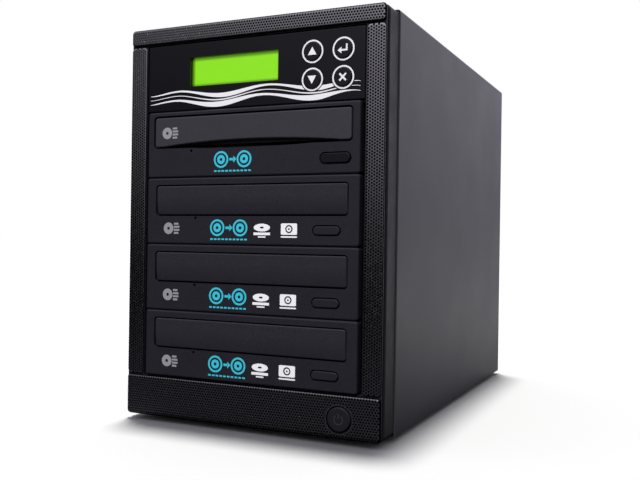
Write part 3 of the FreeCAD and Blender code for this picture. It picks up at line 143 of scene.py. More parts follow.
@dataclass
class Surface:
    """A material in the making: its nodes, its shader, and the colour and roughness it starts from."""

    tree: bpy.types.NodeTree
    shader: bpy.types.Node
    colour: str
    roughness: float

    def grain(self, grain: Grain) -> Socket:
        """Adds a fine random pattern of a real size.

        Args:
            grain: the pattern.

        Returns:
            The pattern's value, mostly within the span of a noise node.
        """
        place = add_node(self.tree, "ShaderNodeTexCoord")
        spread = add_node(self.tree, "ShaderNodeMapping", {"Scale": grain.pack},
                          {"Vector": place.outputs["Object"]})
        noise = add_node(self.tree, "ShaderNodeTexNoise",
                         {"Scale": 1 / (grain.size_mm * MM), "Detail": grain.octaves},
                         {"Vector": spread.outputs["Vector"]})
        return noise.outputs["Fac"]

    def shades(self, value: Socket, dark: float, light: float) -> Socket:
        """Lets a pattern vary the colour.

        Args:
            value: the pattern's value.
            dark: factor on the colour where the pattern is 0.
            light: factor on the colour where the pattern is 1.

        Returns:
            The colour that varies.
        """
        ends = {COLOUR_A: scaled(self.colour, dark), COLOUR_B: scaled(self.colour, light)}
        mix = add_node(self.tree, "ShaderNodeMix", {"data_type": "RGBA", **ends}, {FACTOR: value})
        return mix.outputs[COLOUR_OUT]

    def paint(self, colour: Socket) -> None:
        """Takes the base colour from a pattern."""
        self.tree.links.new(colour, self.shader.inputs["Base Color"])

    def gloss(self, value: Socket, swing: float) -> None:
        """Lets a grain vary the roughness.

        Args:
            value: the grain's value.
            swing: how far the roughness goes to both sides.
        """
        run = Slope(*GRAIN_SPAN, self.roughness - swing, self.roughness + swing)
        span = add_node(self.tree, "ShaderNodeMapRange", run.settings(), {"Value": value})
        self.tree.links.new(span.outputs["Result"], self.shader.inputs["Roughness"])

    def relief(self, value: Socket, depth_mm: float) -> None:
        """Lets a pattern raise and sink the surface by a real depth."""
        bump = add_node(self.tree, "ShaderNodeBump", {"Strength": 1.0, "Distance": depth_mm * MM},
                        {"Height": value})
        self.tree.links.new(bump.outputs["Normal"], self.shader.inputs["Normal"])


@dataclass(frozen=True)
class Finish:
    """A real material: its colour and gloss, and the grains that its tone, sheen and relief follow.

    Attributes:
        name: the material and how its surface was made.
        colour: sRGB hex colour.
        roughness: roughness in the middle of its swing.
        metallic: 1 for a metal.
        ior: index of refraction.
        tone: grain that varies the colour.
        tones: factors on the colour where that grain is 0 and 1.
        sheen: grain that varies the roughness.
        swing: how far the roughness goes to both sides.
        swing_share: more swing, as a share of the roughness.
        peaks: grain that raises and sinks the surface.
        depth_mm: depth of that relief.
    """

    name: str
    colour: str
    roughness: float
    metallic: float = 0.0
    ior: float = 1.5
    tone: Grain | None = None
    tones: Point = (1.0, 1.0)
    sheen: Grain | None = None
    swing: float = 0.0
    swing_share: float = 0.0
    peaks: Grain | None = None
    depth_mm: float = 0.0

    def material(self) -> bpy.types.Material:
        """Makes the material once and gives the same one afterwards.

        Returns:
            The Blender material.
        """
        known = bpy.data.materials.get(self.name)
        if known:
            return known
        material = bpy.data.materials.new(self.name)
        material.use_nodes = True
        shader = material.node_tree.nodes["Principled BSDF"]
        shader.inputs["Base Color"].default_value = linear(self.colour)
        shader.inputs["Roughness"].default_value = self.roughness
        shader.inputs["Metallic"].default_value = self.metallic
        shader.inputs["IOR"].default_value = self.ior
        surface = Surface(material.node_tree, shader, self.colour, self.roughness)
        self.grow(surface)
        self.detail(surface)
        return material

    def grow(self, surface: Surface) -> None:
        """Adds the grains that the finish has.

        Args:
            surface: material that gets them.
        """
        if self.tone:
            surface.paint(surface.shades(surface.grain(self.tone), *self.tones))
        if self.sheen:
            surface.gloss(surface.grain(self.sheen), self.swing + self.swing_share * self.roughness)
        if self.peaks:
            surface.relief(surface.grain(self.peaks), self.depth_mm)

    def detail(self, surface: Surface) -> None:
        """Adds what a finish has besides its grains; most have nothing."""


@dataclass(frozen=True)
class MouldedPlastic(Finish):
    """ABS moulded in a spark-eroded tool: an even, slightly sparkling grain with soft light on it."""

    # The real grain is about 0.1 mm wide and is drawn coarser so that it shows. The gloss drifts slowly.
    tone: Grain | None = Grain(0.9)
    tones: Point = (0.6, 1.4)
    sheen: Grain | None = Grain(12.6)
    swing: float = 0.05
    peaks: Grain | None = Grain(0.9)
    depth_mm: float = 0.02


@dataclass(frozen=True)
class PowderCoat(Finish):
    """Powder coat baked on steel sheet: satin, with the faint orange peel that flow leaves."""

    # Specks of pigment, a slow drift of gloss over the sheet, and orange peel at its real size.
    tone: Grain | None = Grain(0.8)
    tones: Point = (0.86, 1.14)
    sheen: Grain | None = Grain(45.0)
    swing: float = 0.02
    peaks: Grain | None = Grain(1.6, 1.0)
    depth_mm: float = 0.012


@dataclass(frozen=True)
class PolishedPlastic(Finish):
    """Plastic moulded in a polished tool: clear reflections, dulled here and there by handling."""

    # Smudges a finger wide, and the slow wave of a moulding.
    sheen: Grain | None = Grain(18.0, 3.0)
    swing_share: float = 0.4
    peaks: Grain | None = Grain(9.0, 0.0)
    depth_mm: float = 0.002


@dataclass(frozen=True)
class TurnedMetal(Finish):
    """Metal turned or drawn, then plated: fine lines around it and a bright edge."""

    # Tool marks, drawn coarser than the real 0.05 mm so that they show.
    tone: Grain | None = Grain(0.4, 2.0, (1.0, 4.0, 1.0))
    tones: Point = (0.8, 1.2)
    sheen: Grain | None = Grain(0.4, 2.0, (1.0, 4.0, 1.0))
    swing_share: float = 0.3


@dataclass(frozen=True)
class PrintedInk(Finish):
    """Screen-printed ink: flat and slightly dusty, with the uneven film that the screen leaves."""

    # The screen's threads are about 0.1 mm apart, and their marks are drawn coarser so that they show.
    tone: Grain | None = Grain(0.35)
    tones: Point = (0.86, 1.1)
    peaks: Grain | None = Grain(0.35)
    depth_mm: float = 0.003


@dataclass(frozen=True)
class Rubber(Finish):
    """Moulded rubber: dead matt and faintly chalky."""

    # The chalky bloom is drawn coarser than the real one so that it shows.
    tone: Grain | None = Grain(0.7, 3.0)
    tones: Point = (0.5, 1.6)
    peaks: Grain | None = Grain(0.7, 3.0)
    depth_mm: float = 0.03


@dataclass(frozen=True)
class ClearPlate(Finish):
    """Clear acrylic, polished: it is seen by its reflections and hides nothing behind it."""

    # A wave too faint to see on its own.
    peaks: Grain | None = Grain(12.0, 0.0)
    depth_mm: float = 0.001

    def detail(self, surface: Surface) -> None:
        """Lets light through."""
        surface.shader.inputs["Transmission Weight"].default_value = 1.0


@dataclass(frozen=True)
class PlatedMesh(Finish):
    """Perforated steel under black nickel: small mirrors between the holes, with painted shade where they
    turn away from the front.
    """

    # Uneven plating, coarser than the real 0.2 mm so that it shows.
    plating: Grain = Grain(1.2)
    tones: Point = (0.8, 1.2)
    sheen: Grain | None = Grain(1.2)
    swing: float = 0.06
    peaks: Grain | None = Grain(1.2)
    depth_mm: float = 0.01
    # Painted shade: dark colour for every face that turns away from the front, and the run of the normal over
    # which it gives way to the plating.
    bare_ground_and_shade: str = "#1a191e"
    shade_by_facing: Slope = Slope(-0.8, -0.97)

    def detail(self, surface: Surface) -> None:
        """Lays the plating on what faces the front and leaves the walls of the holes bare, dark with painted
        shade on every face that turns away, rolled edges too.

        Args:
            surface: material that gets it.
        """
        tree = surface.tree
        # The colour follows which way a face turns, so this dark is painted shade, not light.
        normal = add_node(tree, "ShaderNodeNewGeometry")
        axes = add_node(tree, "ShaderNodeSeparateXYZ", links={"Vector": normal.outputs["Normal"]})
        reach = add_node(tree, "ShaderNodeMapRange",
                         {"interpolation_type": "SMOOTHSTEP", **self.shade_by_facing.settings()},
                         {"Value": axes.outputs["Y"]})
        coat = surface.shades(surface.grain(self.plating), *self.tones)
        cover = add_node(tree, "ShaderNodeMix", {"data_type": "RGBA", COLOUR_A: linear(self.bare_ground_and_shade)},
                         {FACTOR: reach.outputs["Result"], COLOUR_B: coat})
        surface.paint(cover.outputs[COLOUR_OUT])


@dataclass(frozen=True)
class PlatedSheet(Finish):
    """Zinc-plated steel sheet: dull silver with faint crystals and rolling lines."""

    # Lines of rolling along the depth of the tower.
    sheen: Grain | None = Grain(0.5, 2.0, (1.0, 0.04, 1.0))
    swing: float = 0.08
    peaks: Grain | None = Grain(0.5, 2.0, (1.0, 0.04, 1.0))
    depth_mm: float = 0.004
    spangle_mm: float = 7.0
    tones: Point = (0.88, 1.1)

    def detail(self, surface: Surface) -> None:
        """Adds the zinc crystals.

        Args:
            surface: material that gets them.
        """
        place = add_node(surface.tree, "ShaderNodeTexCoord")
        cells = add_node(surface.tree, "ShaderNodeTexVoronoi", {"Scale": 1 / (self.spangle_mm * MM)},
                         {"Vector": place.outputs["Object"]})
        tone = add_node(surface.tree, "ShaderNodeSeparateColor", links={"Color": cells.outputs["Color"]})
        surface.paint(surface.shades(tone.outputs["Red"], *self.tones))


@dataclass(frozen=True)
class SolderMask(Finish):
    """Circuit board under solder mask: gloss over paler copper tracks."""

    track_mm: float = 2.4
    track_share: float = 0.06
    tones: Point = (1.0, 1.15)
    track: float = 1.7

    def detail(self, surface: Surface) -> None:
        """Adds tracks that run in a staggered grid.

        Args:
            surface: material that gets them.
        """
        place = add_node(surface.tree, "ShaderNodeTexCoord")
        turn = add_node(surface.tree, "ShaderNodeMapping", {"Rotation": (math.pi / 2, 0, 0)},
                        {"Vector": place.outputs["Object"]})
        colours = {name: scaled(self.colour, factor)
                   for name, factor in zip(("Color1", "Color2", "Mortar"), (*self.tones, self.track))}
        tracks = add_node(surface.tree, "ShaderNodeTexBrick",
                          {"Scale": 1 / (self.track_mm * MM), "Mortar Size": self.track_share, **colours},
                          {"Vector": turn.outputs["Vector"]})
        surface.paint(tracks.outputs["Color"])


@dataclass(frozen=True)
class LitDisplay(Finish):
    """Backlit liquid crystal glass: an even glow that falls off towards the frame, partly as a backlight does
    and partly as painted shade from the recess around it.
    """

    middle: Point = (0.0, 0.0)
    half: Point = (1.0, 1.0)
    # Painted shade: how far in from the edge the glow dims, and how much glow is left at the very edge.
    shade_width_mm: float = 2.2
    shaded_edge_glow: float = 0.3
    unlit: float = 0.05

    def detail(self, surface: Surface) -> None:
        """Adds the glow and its fall-off at the frame, which paints the recess's shade on the glass.

        Args:
            surface: material that gets them.
        """
        tree, inputs = surface.tree, surface.shader.inputs
        place = add_node(tree, "ShaderNodeTexCoord")
        axes = add_node(tree, "ShaderNodeSeparateXYZ", links={"Vector": place.outputs["Object"]})
        fades = []
        for axis, middle, half in zip("XZ", self.middle, self.half):
            away = add_node(tree, "ShaderNodeMath", {"operation": "SUBTRACT", 1: middle * MM},
                            {0: axes.outputs[axis]})
            span = add_node(tree, "ShaderNodeMath", {"operation": "ABSOLUTE"}, {0: away.outputs[0]})
            # Painted shade: the glow dims towards each edge, where the recess would shade the glass.
            run = Slope(half * MM, (half - self.shade_width_mm) * MM, self.shaded_edge_glow)
            fade = add_node(tree, "ShaderNodeMapRange",
                            {"interpolation_type": "SMOOTHSTEP", **run.settings()},
                            {"Value": span.outputs[0]})
            fades.append(fade.outputs["Result"])
        both = add_node(tree, "ShaderNodeMath", {"operation": "MULTIPLY"}, {0: fades[0], 1: fades[1]})
        tree.links.new(both.outputs[0], inputs["Emission Strength"])
        inputs["Emission Color"].default_value = linear(self.colour)
        inputs["Base Color"].default_value = scaled(self.colour, self.unlit)
        inputs["Specular IOR Level"].default_value = 0.0


# Real finishes, by the slot that each has in the record.
FINISHES: dict[str, Finish] = {
    # Baked powder: one wide, soft sheen over the whole sheet.
    "cover_paint": PowderCoat("powder_coated_steel_dark_grey", "#38373d", 0.4),
    "rear_paint": PowderCoat("powder_coated_steel_rear", "#3a393f", 0.46),
    # Zinc: dull silver that changes from crystal to crystal.
    "zinc_steel": PlatedSheet("zinc_plated_steel_sheet", "#a9abad", 0.38, metallic=1.0),
    # Black nickel: a grey mirror that takes its tone from what stands before it, with painted shade where it
    # turns away from the front.
    "mesh_steel": PlatedMesh("steel_perforated_black_nickel", "#b6b5b5", 0.22, metallic=1.0),
    # Spark-eroded moulds: dark and even, with a soft sparkle and no clear reflection.
    "frame_plastic": MouldedPlastic("abs_moulded_front_frame", "#19181d", 0.52),
    "screen_lit": MouldedPlastic("display_module_frame", "#17171a", 0.5),
    "switch_plastic": MouldedPlastic("nylon_moulded_black", "#18181b", 0.55),
    "drive_plastic": MouldedPlastic("abs_spark_textured_face", "#212027", 0.44),
    "door_plastic": MouldedPlastic("abs_spark_textured_door", "#29282f", 0.4),
    "loader_plastic": MouldedPlastic("abs_moulded_loader_black", "#202023", 0.55),
    # Finer moulds: smoother, so that a sheen runs along the edges.
    "reader_door_plastic": MouldedPlastic("abs_satin_moulded_door", "#36353b", 0.34, tones=(0.76, 1.24)),
    "eject_plastic": MouldedPlastic("abs_moulded_eject_button", "#222128", 0.38, tones=(0.8, 1.2)),
    "tray_plastic": MouldedPlastic("abs_moulded_tray_black", "#1e1e21", 0.42, tones=(0.76, 1.24)),
    "fan_plastic": MouldedPlastic("pbt_moulded_fan_black", "#18181b", 0.45, tones=(0.8, 1.2)),
    # Polished moulds: black with clear reflections.
    "panel_gloss": PolishedPlastic("abs_polished_black", "#08070b", 0.12),
    "key_gloss": PolishedPlastic("abs_polished_key_black", "#0e0d12", 0.2),
    "rocker_plastic": PolishedPlastic("nylon_polished_rocker", "#101012", 0.25),
    "window_clear": ClearPlate("acrylic_polished_clear", "#ffffff", 0.02, ior=1.49),
    "board_green": SolderMask("circuit_board_solder_mask", "#1d5a34", 0.3),
    # Turned, drawn and plated metal: bright lines that follow the tool.
    "contact_brass": TurnedMetal("brass_nickel_plated_blade", "#c9ccd0", 0.25, metallic=1.0),
    "spacer_brass": TurnedMetal("brass_turned_spacer", "#b79a55", 0.3, metallic=1.0),
    "spindle_metal": TurnedMetal("aluminium_turned_hub", "#b9bbbd", 0.3, metallic=1.0),
    "guard_chrome": TurnedMetal("steel_wire_bright_chrome", "#cfd2d4", 0.12, metallic=1.0),
    "screw_black": TurnedMetal("steel_screw_black_oxide", "#2a2a2d", 0.38, metallic=1.0),
    "screw_zinc": TurnedMetal("steel_screw_zinc_plated", "#b5b7b8", 0.3, metallic=1.0),
    "foot_rubber": Rubber("rubber_moulded_foot", "#1a1a1b", 0.8),
}
# Inks: flat tones that stay readable at every angle.
SILVER_INK = PrintedInk("ink_screen_printed_silver", "#f0eef3", 0.45)
WHITE_INK = PrintedInk("ink_screen_printed_white", "#f8f8fb", 0.5)
GREY_INK = PrintedInk("ink_screen_printed_grey", "#95949b", 0.5)
CYAN_INK = PrintedInk("ink_screen_printed_cyan", "#3cc4da", 0.5)
DARK_INK = PrintedInk("ink_pad_printed_dark_grey", "#333238", 0.5)
INK_THICK = 0.07
INK_PROUD = 0.04


def soften(mesh: bpy.types.Mesh, sharp: float) -> None:
    """Shades a mesh smooth, but for the edges that turn by more than an angle in degrees."""
    mesh.shade_smooth()
    mesh.set_sharp_from_angle(angle=math.radians(sharp))


def make_piece(name: str, corners: list[Point3], faces: list[list[int]], finish: Finish) -> bpy.types.Object:
    """Makes one mesh object in the frame of the construction model.

    Args:
        name: name of the piece.
        corners: corner points in millimetres.
        faces: corner numbers of each face.
        finish: finish that covers it.

    Returns:
        The new object.
    """
    mesh = bpy.data.meshes.new(name)
    mesh.from_pydata([(x * MM, y * MM, z * MM) for x, y, z in corners], [], faces)
    mesh.materials.append(finish.material())
    piece = bpy.data.objects.new(name, mesh)
    bpy.context.scene.collection.objects.link(piece)
    return piece


def settle(piece: bpy.types.Object, body: str, slot: str, *nodes: str) -> None:
    """Ties a piece to its body, and reports it.

    Args:
        piece: piece that was made.
        body: body that it moves with.
        slot: material slot of the record; not used.
        nodes: nodes of the construction model that it stands for.
    """
    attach(piece, body)
    if nodes:
        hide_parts(*nodes)
    LOG.info("%s rides on %s", piece.name, body)


def dress_nodes() -> None:
    """Gives every node of the construction model the finish of its slot in the record."""
    for row in frame["record"]["subparts"]:
        finish = FINISHES[row["material_slot"]]
        mesh = NODES[row["node"]].data
        mesh.materials.clear()
        mesh.materials.append(finish.material())
        LOG.info("%s is dressed in %s", row["node"], finish.name)


def ring_points(x: float, z: float, diameter: float, steps: int, start: float = 0.0) -> list[Point]:
    """Gives points around a circle on an upright face, anticlockwise from a start angle in degrees."""
    turns = [math.radians(start) + FULL_TURN * step / steps for step in range(steps)]
    return [(x + diameter / 2 * math.cos(turn), z + diameter / 2 * math.sin(turn)) for turn in turns]


@dataclass
class FlatWork:
    """Flat shapes on an upright face, seen from the front, in millimetres."""

    corners: list[Point] = field(default_factory=list)
    faces: list[list[int]] = field(default_factory=list)

    def patch(self, outline: list[Point]) -> None:
        """Adds one closed outline, given anticlockwise."""
        self.faces.append([len(self.corners) + step for step in range(len(outline))])
        self.corners += outline

    def bar(self, x: float, z: float, length: float, width: float, lean: float = 0.0) -> None:
        """Adds a straight bar.

        Args:
            x: middle of the bar, across.
            z: middle of the bar, upwards.
            length: size along the bar.
            width: size across the bar.
            lean: angle of the bar in degrees.
        """
        turn = math.radians(lean)
        along = (math.cos(turn) * length / 2, math.sin(turn) * length / 2)
        across = (-math.sin(turn) * width / 2, math.cos(turn) * width / 2)
        self.patch([(x + s * along[0] + t * across[0], z + s * along[1] + t * across[1]) for s, t in CORNERS])

    def band(self, outer: list[Point], inner: list[Point], closed: bool) -> None:
        """Adds the strip between two rows of points.

        Args:
            outer: row that runs anticlockwise about the strip.
            inner: row with as many points.
            closed: whether the strip runs back into its start.
        """
        first, count = len(self.corners), len(outer)
        self.corners += outer + inner
        for step in range(count if closed else count - 1):
            after = (step + 1) % count
            self.faces.append([first + step, first + after, first + count + after, first + count + step])

    def ring(self, x: float, z: float, outside: float, inside: float, steps: int = 48) -> None:
        """Adds a round ring between two diameters."""
        self.band(ring_points(x, z, outside, steps), ring_points(x, z, inside, steps), True)

    def ribbon(self, spine: list[Point3]) -> None:
        """Adds a strip of changing height along points of x, z and half height."""
        self.band([(x, z - half) for x, z, half in spine], [(x, z + half) for x, z, half in spine], False)

    def piece(self, name: str, front: float, finish: Finish, thick: float = INK_THICK) -> bpy.types.Object:
        """Makes the shapes into one thin piece whose front lies at a depth.

        Args:
            name: name of the piece.
            front: depth of its front face.
            finish: finish that covers it.
            thick: thickness, which goes back from the front.

        Returns:
            The new object.
        """
        piece = make_piece(name, [(x, front, z) for x, z in self.corners], self.faces, finish)
        film = piece.modifiers.new("thickness", "SOLIDIFY")
        film.thickness = thick * MM
        film.offset = -1
        return piece


class Side(Enum):
    """The two hands of the tower, seen from the front."""

    LEFT = -1
    RIGHT = 1


@dataclass
class PerforatedSheet:
    """A plated steel sheet with staggered round holes and a plain margin along its rolled edges.

    Attributes:
        name: name of the piece.
        left, right, low, high: edges of the sheet, seen from the front.
        front: depth of its front face.
        depth: room for the rolled edges, backwards from the front.
        upright: whether the rows of holes run upwards.
        pitch: distance between neighbouring holes.
        hole: diameter of a hole.
        cell_sides: sides of the cell around each hole.
        plain_share: margin in which holes stay closed, as a share of a hole's diameter.
        corner: radius of the sheet's corners.
        roll_gap: how far the rolled edges stay short of their room.
        wall: thickness of the sheet.
        weld: distance within which corners of neighbouring cells are joined.
        cuts: straight cuts that make up the rounded outline.
        cut_snap: distance within which a corner counts as lying on a cut.
        sharp: angle in degrees above which an edge stays sharp.
        port: middle and diameter of a round opening.
        port_gap: distance that the field of holes keeps from the opening.
        port_rim, port_proud, port_steps: width of the opening's rim, its lift and the points around it.
    """

    name: str
    left: float
    right: float
    low: float
    high: float
    front: float
    depth: float
    upright: bool = False
    pitch: float = 1.8
    hole: float = 1.31
    cell_sides: int = 6
    plain_share: float = 0.6
    corner: float = 2.4
    roll_gap: float = 0.05
    wall: float = 0.5
    weld: float = 0.01
    cuts: int = 16
    cut_snap: float = 0.0001
    sharp: float = 40.0
    port: Point3 | None = None
    port_gap: float = 0.3
    port_rim: float = 0.9
    port_proud: float = 0.03
    port_steps: int = 64

    def middle(self) -> Point:
        """Gives the middle of the sheet."""
        return (self.left + self.right) / 2, (self.low + self.high) / 2

    def hole_places(self) -> list[Point]:
        """Spreads the holes in staggered rows that run along the sheet.

        Returns:
            The middle of every hole.
        """
        sides = (self.right - self.left, self.high - self.low)
        wide, long = sides if self.upright else reversed(sides)
        row_step = self.pitch * math.sqrt(3) / 2
        rows, count = int(wide / row_step / 2) + 2, int(long / self.pitch / 2) + 2
        middle_x, middle_z = self.middle()
        places = []
        for row in range(-rows, rows + 1):
            for step in range(-count, count + 1):
                spot = (row * row_step, (step + 0.5 * (row % 2)) * self.pitch)
                across, up = spot if self.upright else reversed(spot)
                if self.port is None or self.from_port(middle_x + across, middle_z + up) > self.port_gap:
                    places.append((middle_x + across, middle_z + up))
        return places

    def from_port(self, x: float, z: float) -> float:
        """Gives the distance of a point from the rim of the port."""
        port_x, port_z, across = self.port
        return math.hypot(x - port_x, z - port_z) - across / 2

    def margin(self, x: float, z: float) -> float:
        """Measures how far a point lies inside the edge of the sheet.

        Args:
            x: place of the point, across.
            z: place of the point, upwards.

        Returns:
            The distance, counted up to the corner radius.
        """
        over_x = max(self.left + self.corner - x, x - self.right + self.corner, 0.0)
        over_z = max(self.low + self.corner - z, z - self.high + self.corner, 0.0)
        return self.corner - math.hypot(over_x, over_z)

    def surface(self, x: float, z: float) -> Point3:
        """Lays a point on the sheet.

        Args:
            x: place of the point, across.
            z: place of the point, upwards.

        Returns:
            The point, rolled back along the edges and kept clear of the port.
        """
        if self.port and self.from_port(x, z) < self.port_gap:
            port_x, port_z, across = self.port
            pull = (across / 2 + self.port_gap) / max(math.hypot(x - port_x, z - port_z), self.weld)
            x, z = port_x + (x - port_x) * pull, port_z + (z - port_z) * pull
        roll = self.depth - self.roll_gap
        past = min(max(roll - self.margin(x, z), 0.0), roll)
        return x, self.front + roll - math.sqrt(roll ** 2 - past ** 2), z

    def web(self) -> bpy.types.Object:
        """Makes the perforated field, one six-sided cell with a hole or a plain middle at a time.

        Returns:
            The field, cut off at the edges of the sheet and given its thickness.
        """
        corners: list[Point3] = []
        faces: list[list[int]] = []
        start = 0.0 if self.upright else 180 / self.cell_sides
        # Each side of a cell goes with two steps around its hole.
        hole_steps = 2 * self.cell_sides
        for x, z in self.hole_places():
            first, rim = len(corners), len(corners) + self.cell_sides
            cell = ring_points(x, z, 2 * self.pitch / math.sqrt(3), self.cell_sides, start)
            hole = ring_points(x, z, self.hole, hole_steps, start)
            corners += [self.surface(*spot) for spot in cell + hole]
            for side in range(self.cell_sides):
                faces.append([first + side, first + (side + 1) % self.cell_sides,
                              *(rim + (2 * side + step) % hole_steps for step in (2, 1, 0))])
            if self.margin(x, z) < self.plain_share * self.hole:
                centre = len(corners)
                corners.append(self.surface(x, z))
                faces += [[rim + step, rim + (step + 1) % hole_steps, centre] for step in range(hole_steps)]
        piece = make_piece(self.name, corners, faces, FINISHES["mesh_steel"])
        self.finish_sheet(piece.data)
        return piece

    def finish_sheet(self, mesh: bpy.types.Mesh) -> None:
        """Joins the cells, cuts them off along the outline of the sheet and thickens them backwards.

        Args:
            mesh: cells of the field, which overlap the outline.
        """
        middle = self.middle()
        straight = (middle[0] - self.left - self.corner, middle[1] - self.low - self.corner)
        cells = bmesh.new()
        cells.from_mesh(mesh)
        bmesh.ops.remove_doubles(cells, verts=cells.verts[:], dist=self.weld * MM)
        for step in range(self.cuts):
            turn = FULL_TURN * step / self.cuts
            away = (math.cos(turn), math.sin(turn))
            reach = self.corner + sum(abs(a) * s for a, s in zip(away, straight))
            spot = [m + a * reach for m, a in zip(middle, away)]
            bmesh.ops.bisect_plane(cells, geom=cells.verts[:] + cells.edges[:] + cells.faces[:],
                                   dist=self.cut_snap * MM, plane_co=(spot[0] * MM, 0, spot[1] * MM),
                                   plane_no=(away[0], 0, away[1]), clear_outer=True)
        bmesh.ops.solidify(cells, geom=cells.faces[:], thickness=self.wall * MM)
        bmesh.ops.recalc_face_normals(cells, faces=cells.faces[:])
        cells.to_mesh(mesh)
        cells.free()
        soften(mesh, self.sharp)

    def build(self, node: str) -> None:
        """Makes the field, and the rim of its port, in place of the plain sheet.

        Args:
            node: node of the construction model that is the plain sheet.
        """
        settle(self.web(), "cabinet", "mesh_steel", node)
        if self.port:
            x, z, across = self.port
            work = FlatWork()
            work.ring(x, z, across + 2 * self.port_rim, across, self.port_steps)
            rim = work.piece(self.name + "_port", self.front - self.port_proud, FINISHES["mesh_steel"],
                             self.depth)
            settle(rim, "cabinet", "mesh_steel")


@dataclass
class FrontScreens:
    """The perforated inserts that frame the drives and close the foot of the front."""

    strip_inner: float = 76.6
    port: Point3 = (63.0, 14.8, 16.2)

    def build(self) -> None:
        """Makes the four sheets where the construction model has them."""
        for place, port in (("top", None), ("bottom", self.port)):
            low, high = (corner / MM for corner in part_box(place + "_mesh"))
            PerforatedSheet(place + "_screen", low.x, high.x, low.z, high.z, low.y, high.y - low.y,
                            port=port).build(place + "_mesh")
        low, high = (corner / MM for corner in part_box("side_meshes"))
        for side in Side:
            ends = sorted((side.value * self.strip_inner, side.value * high.x))
            PerforatedSheet("side_screen_" + side.name.lower(), *ends, low.z, high.z, low.y, high.y - low.y,
                            upright=True).build("side_meshes")


@dataclass(frozen=True)
class Wave:
    """One printed wave: its lift over the middle line, its fullness and its lag, as a share of a wave."""

    lift: float
    fullness: float
    lag: float


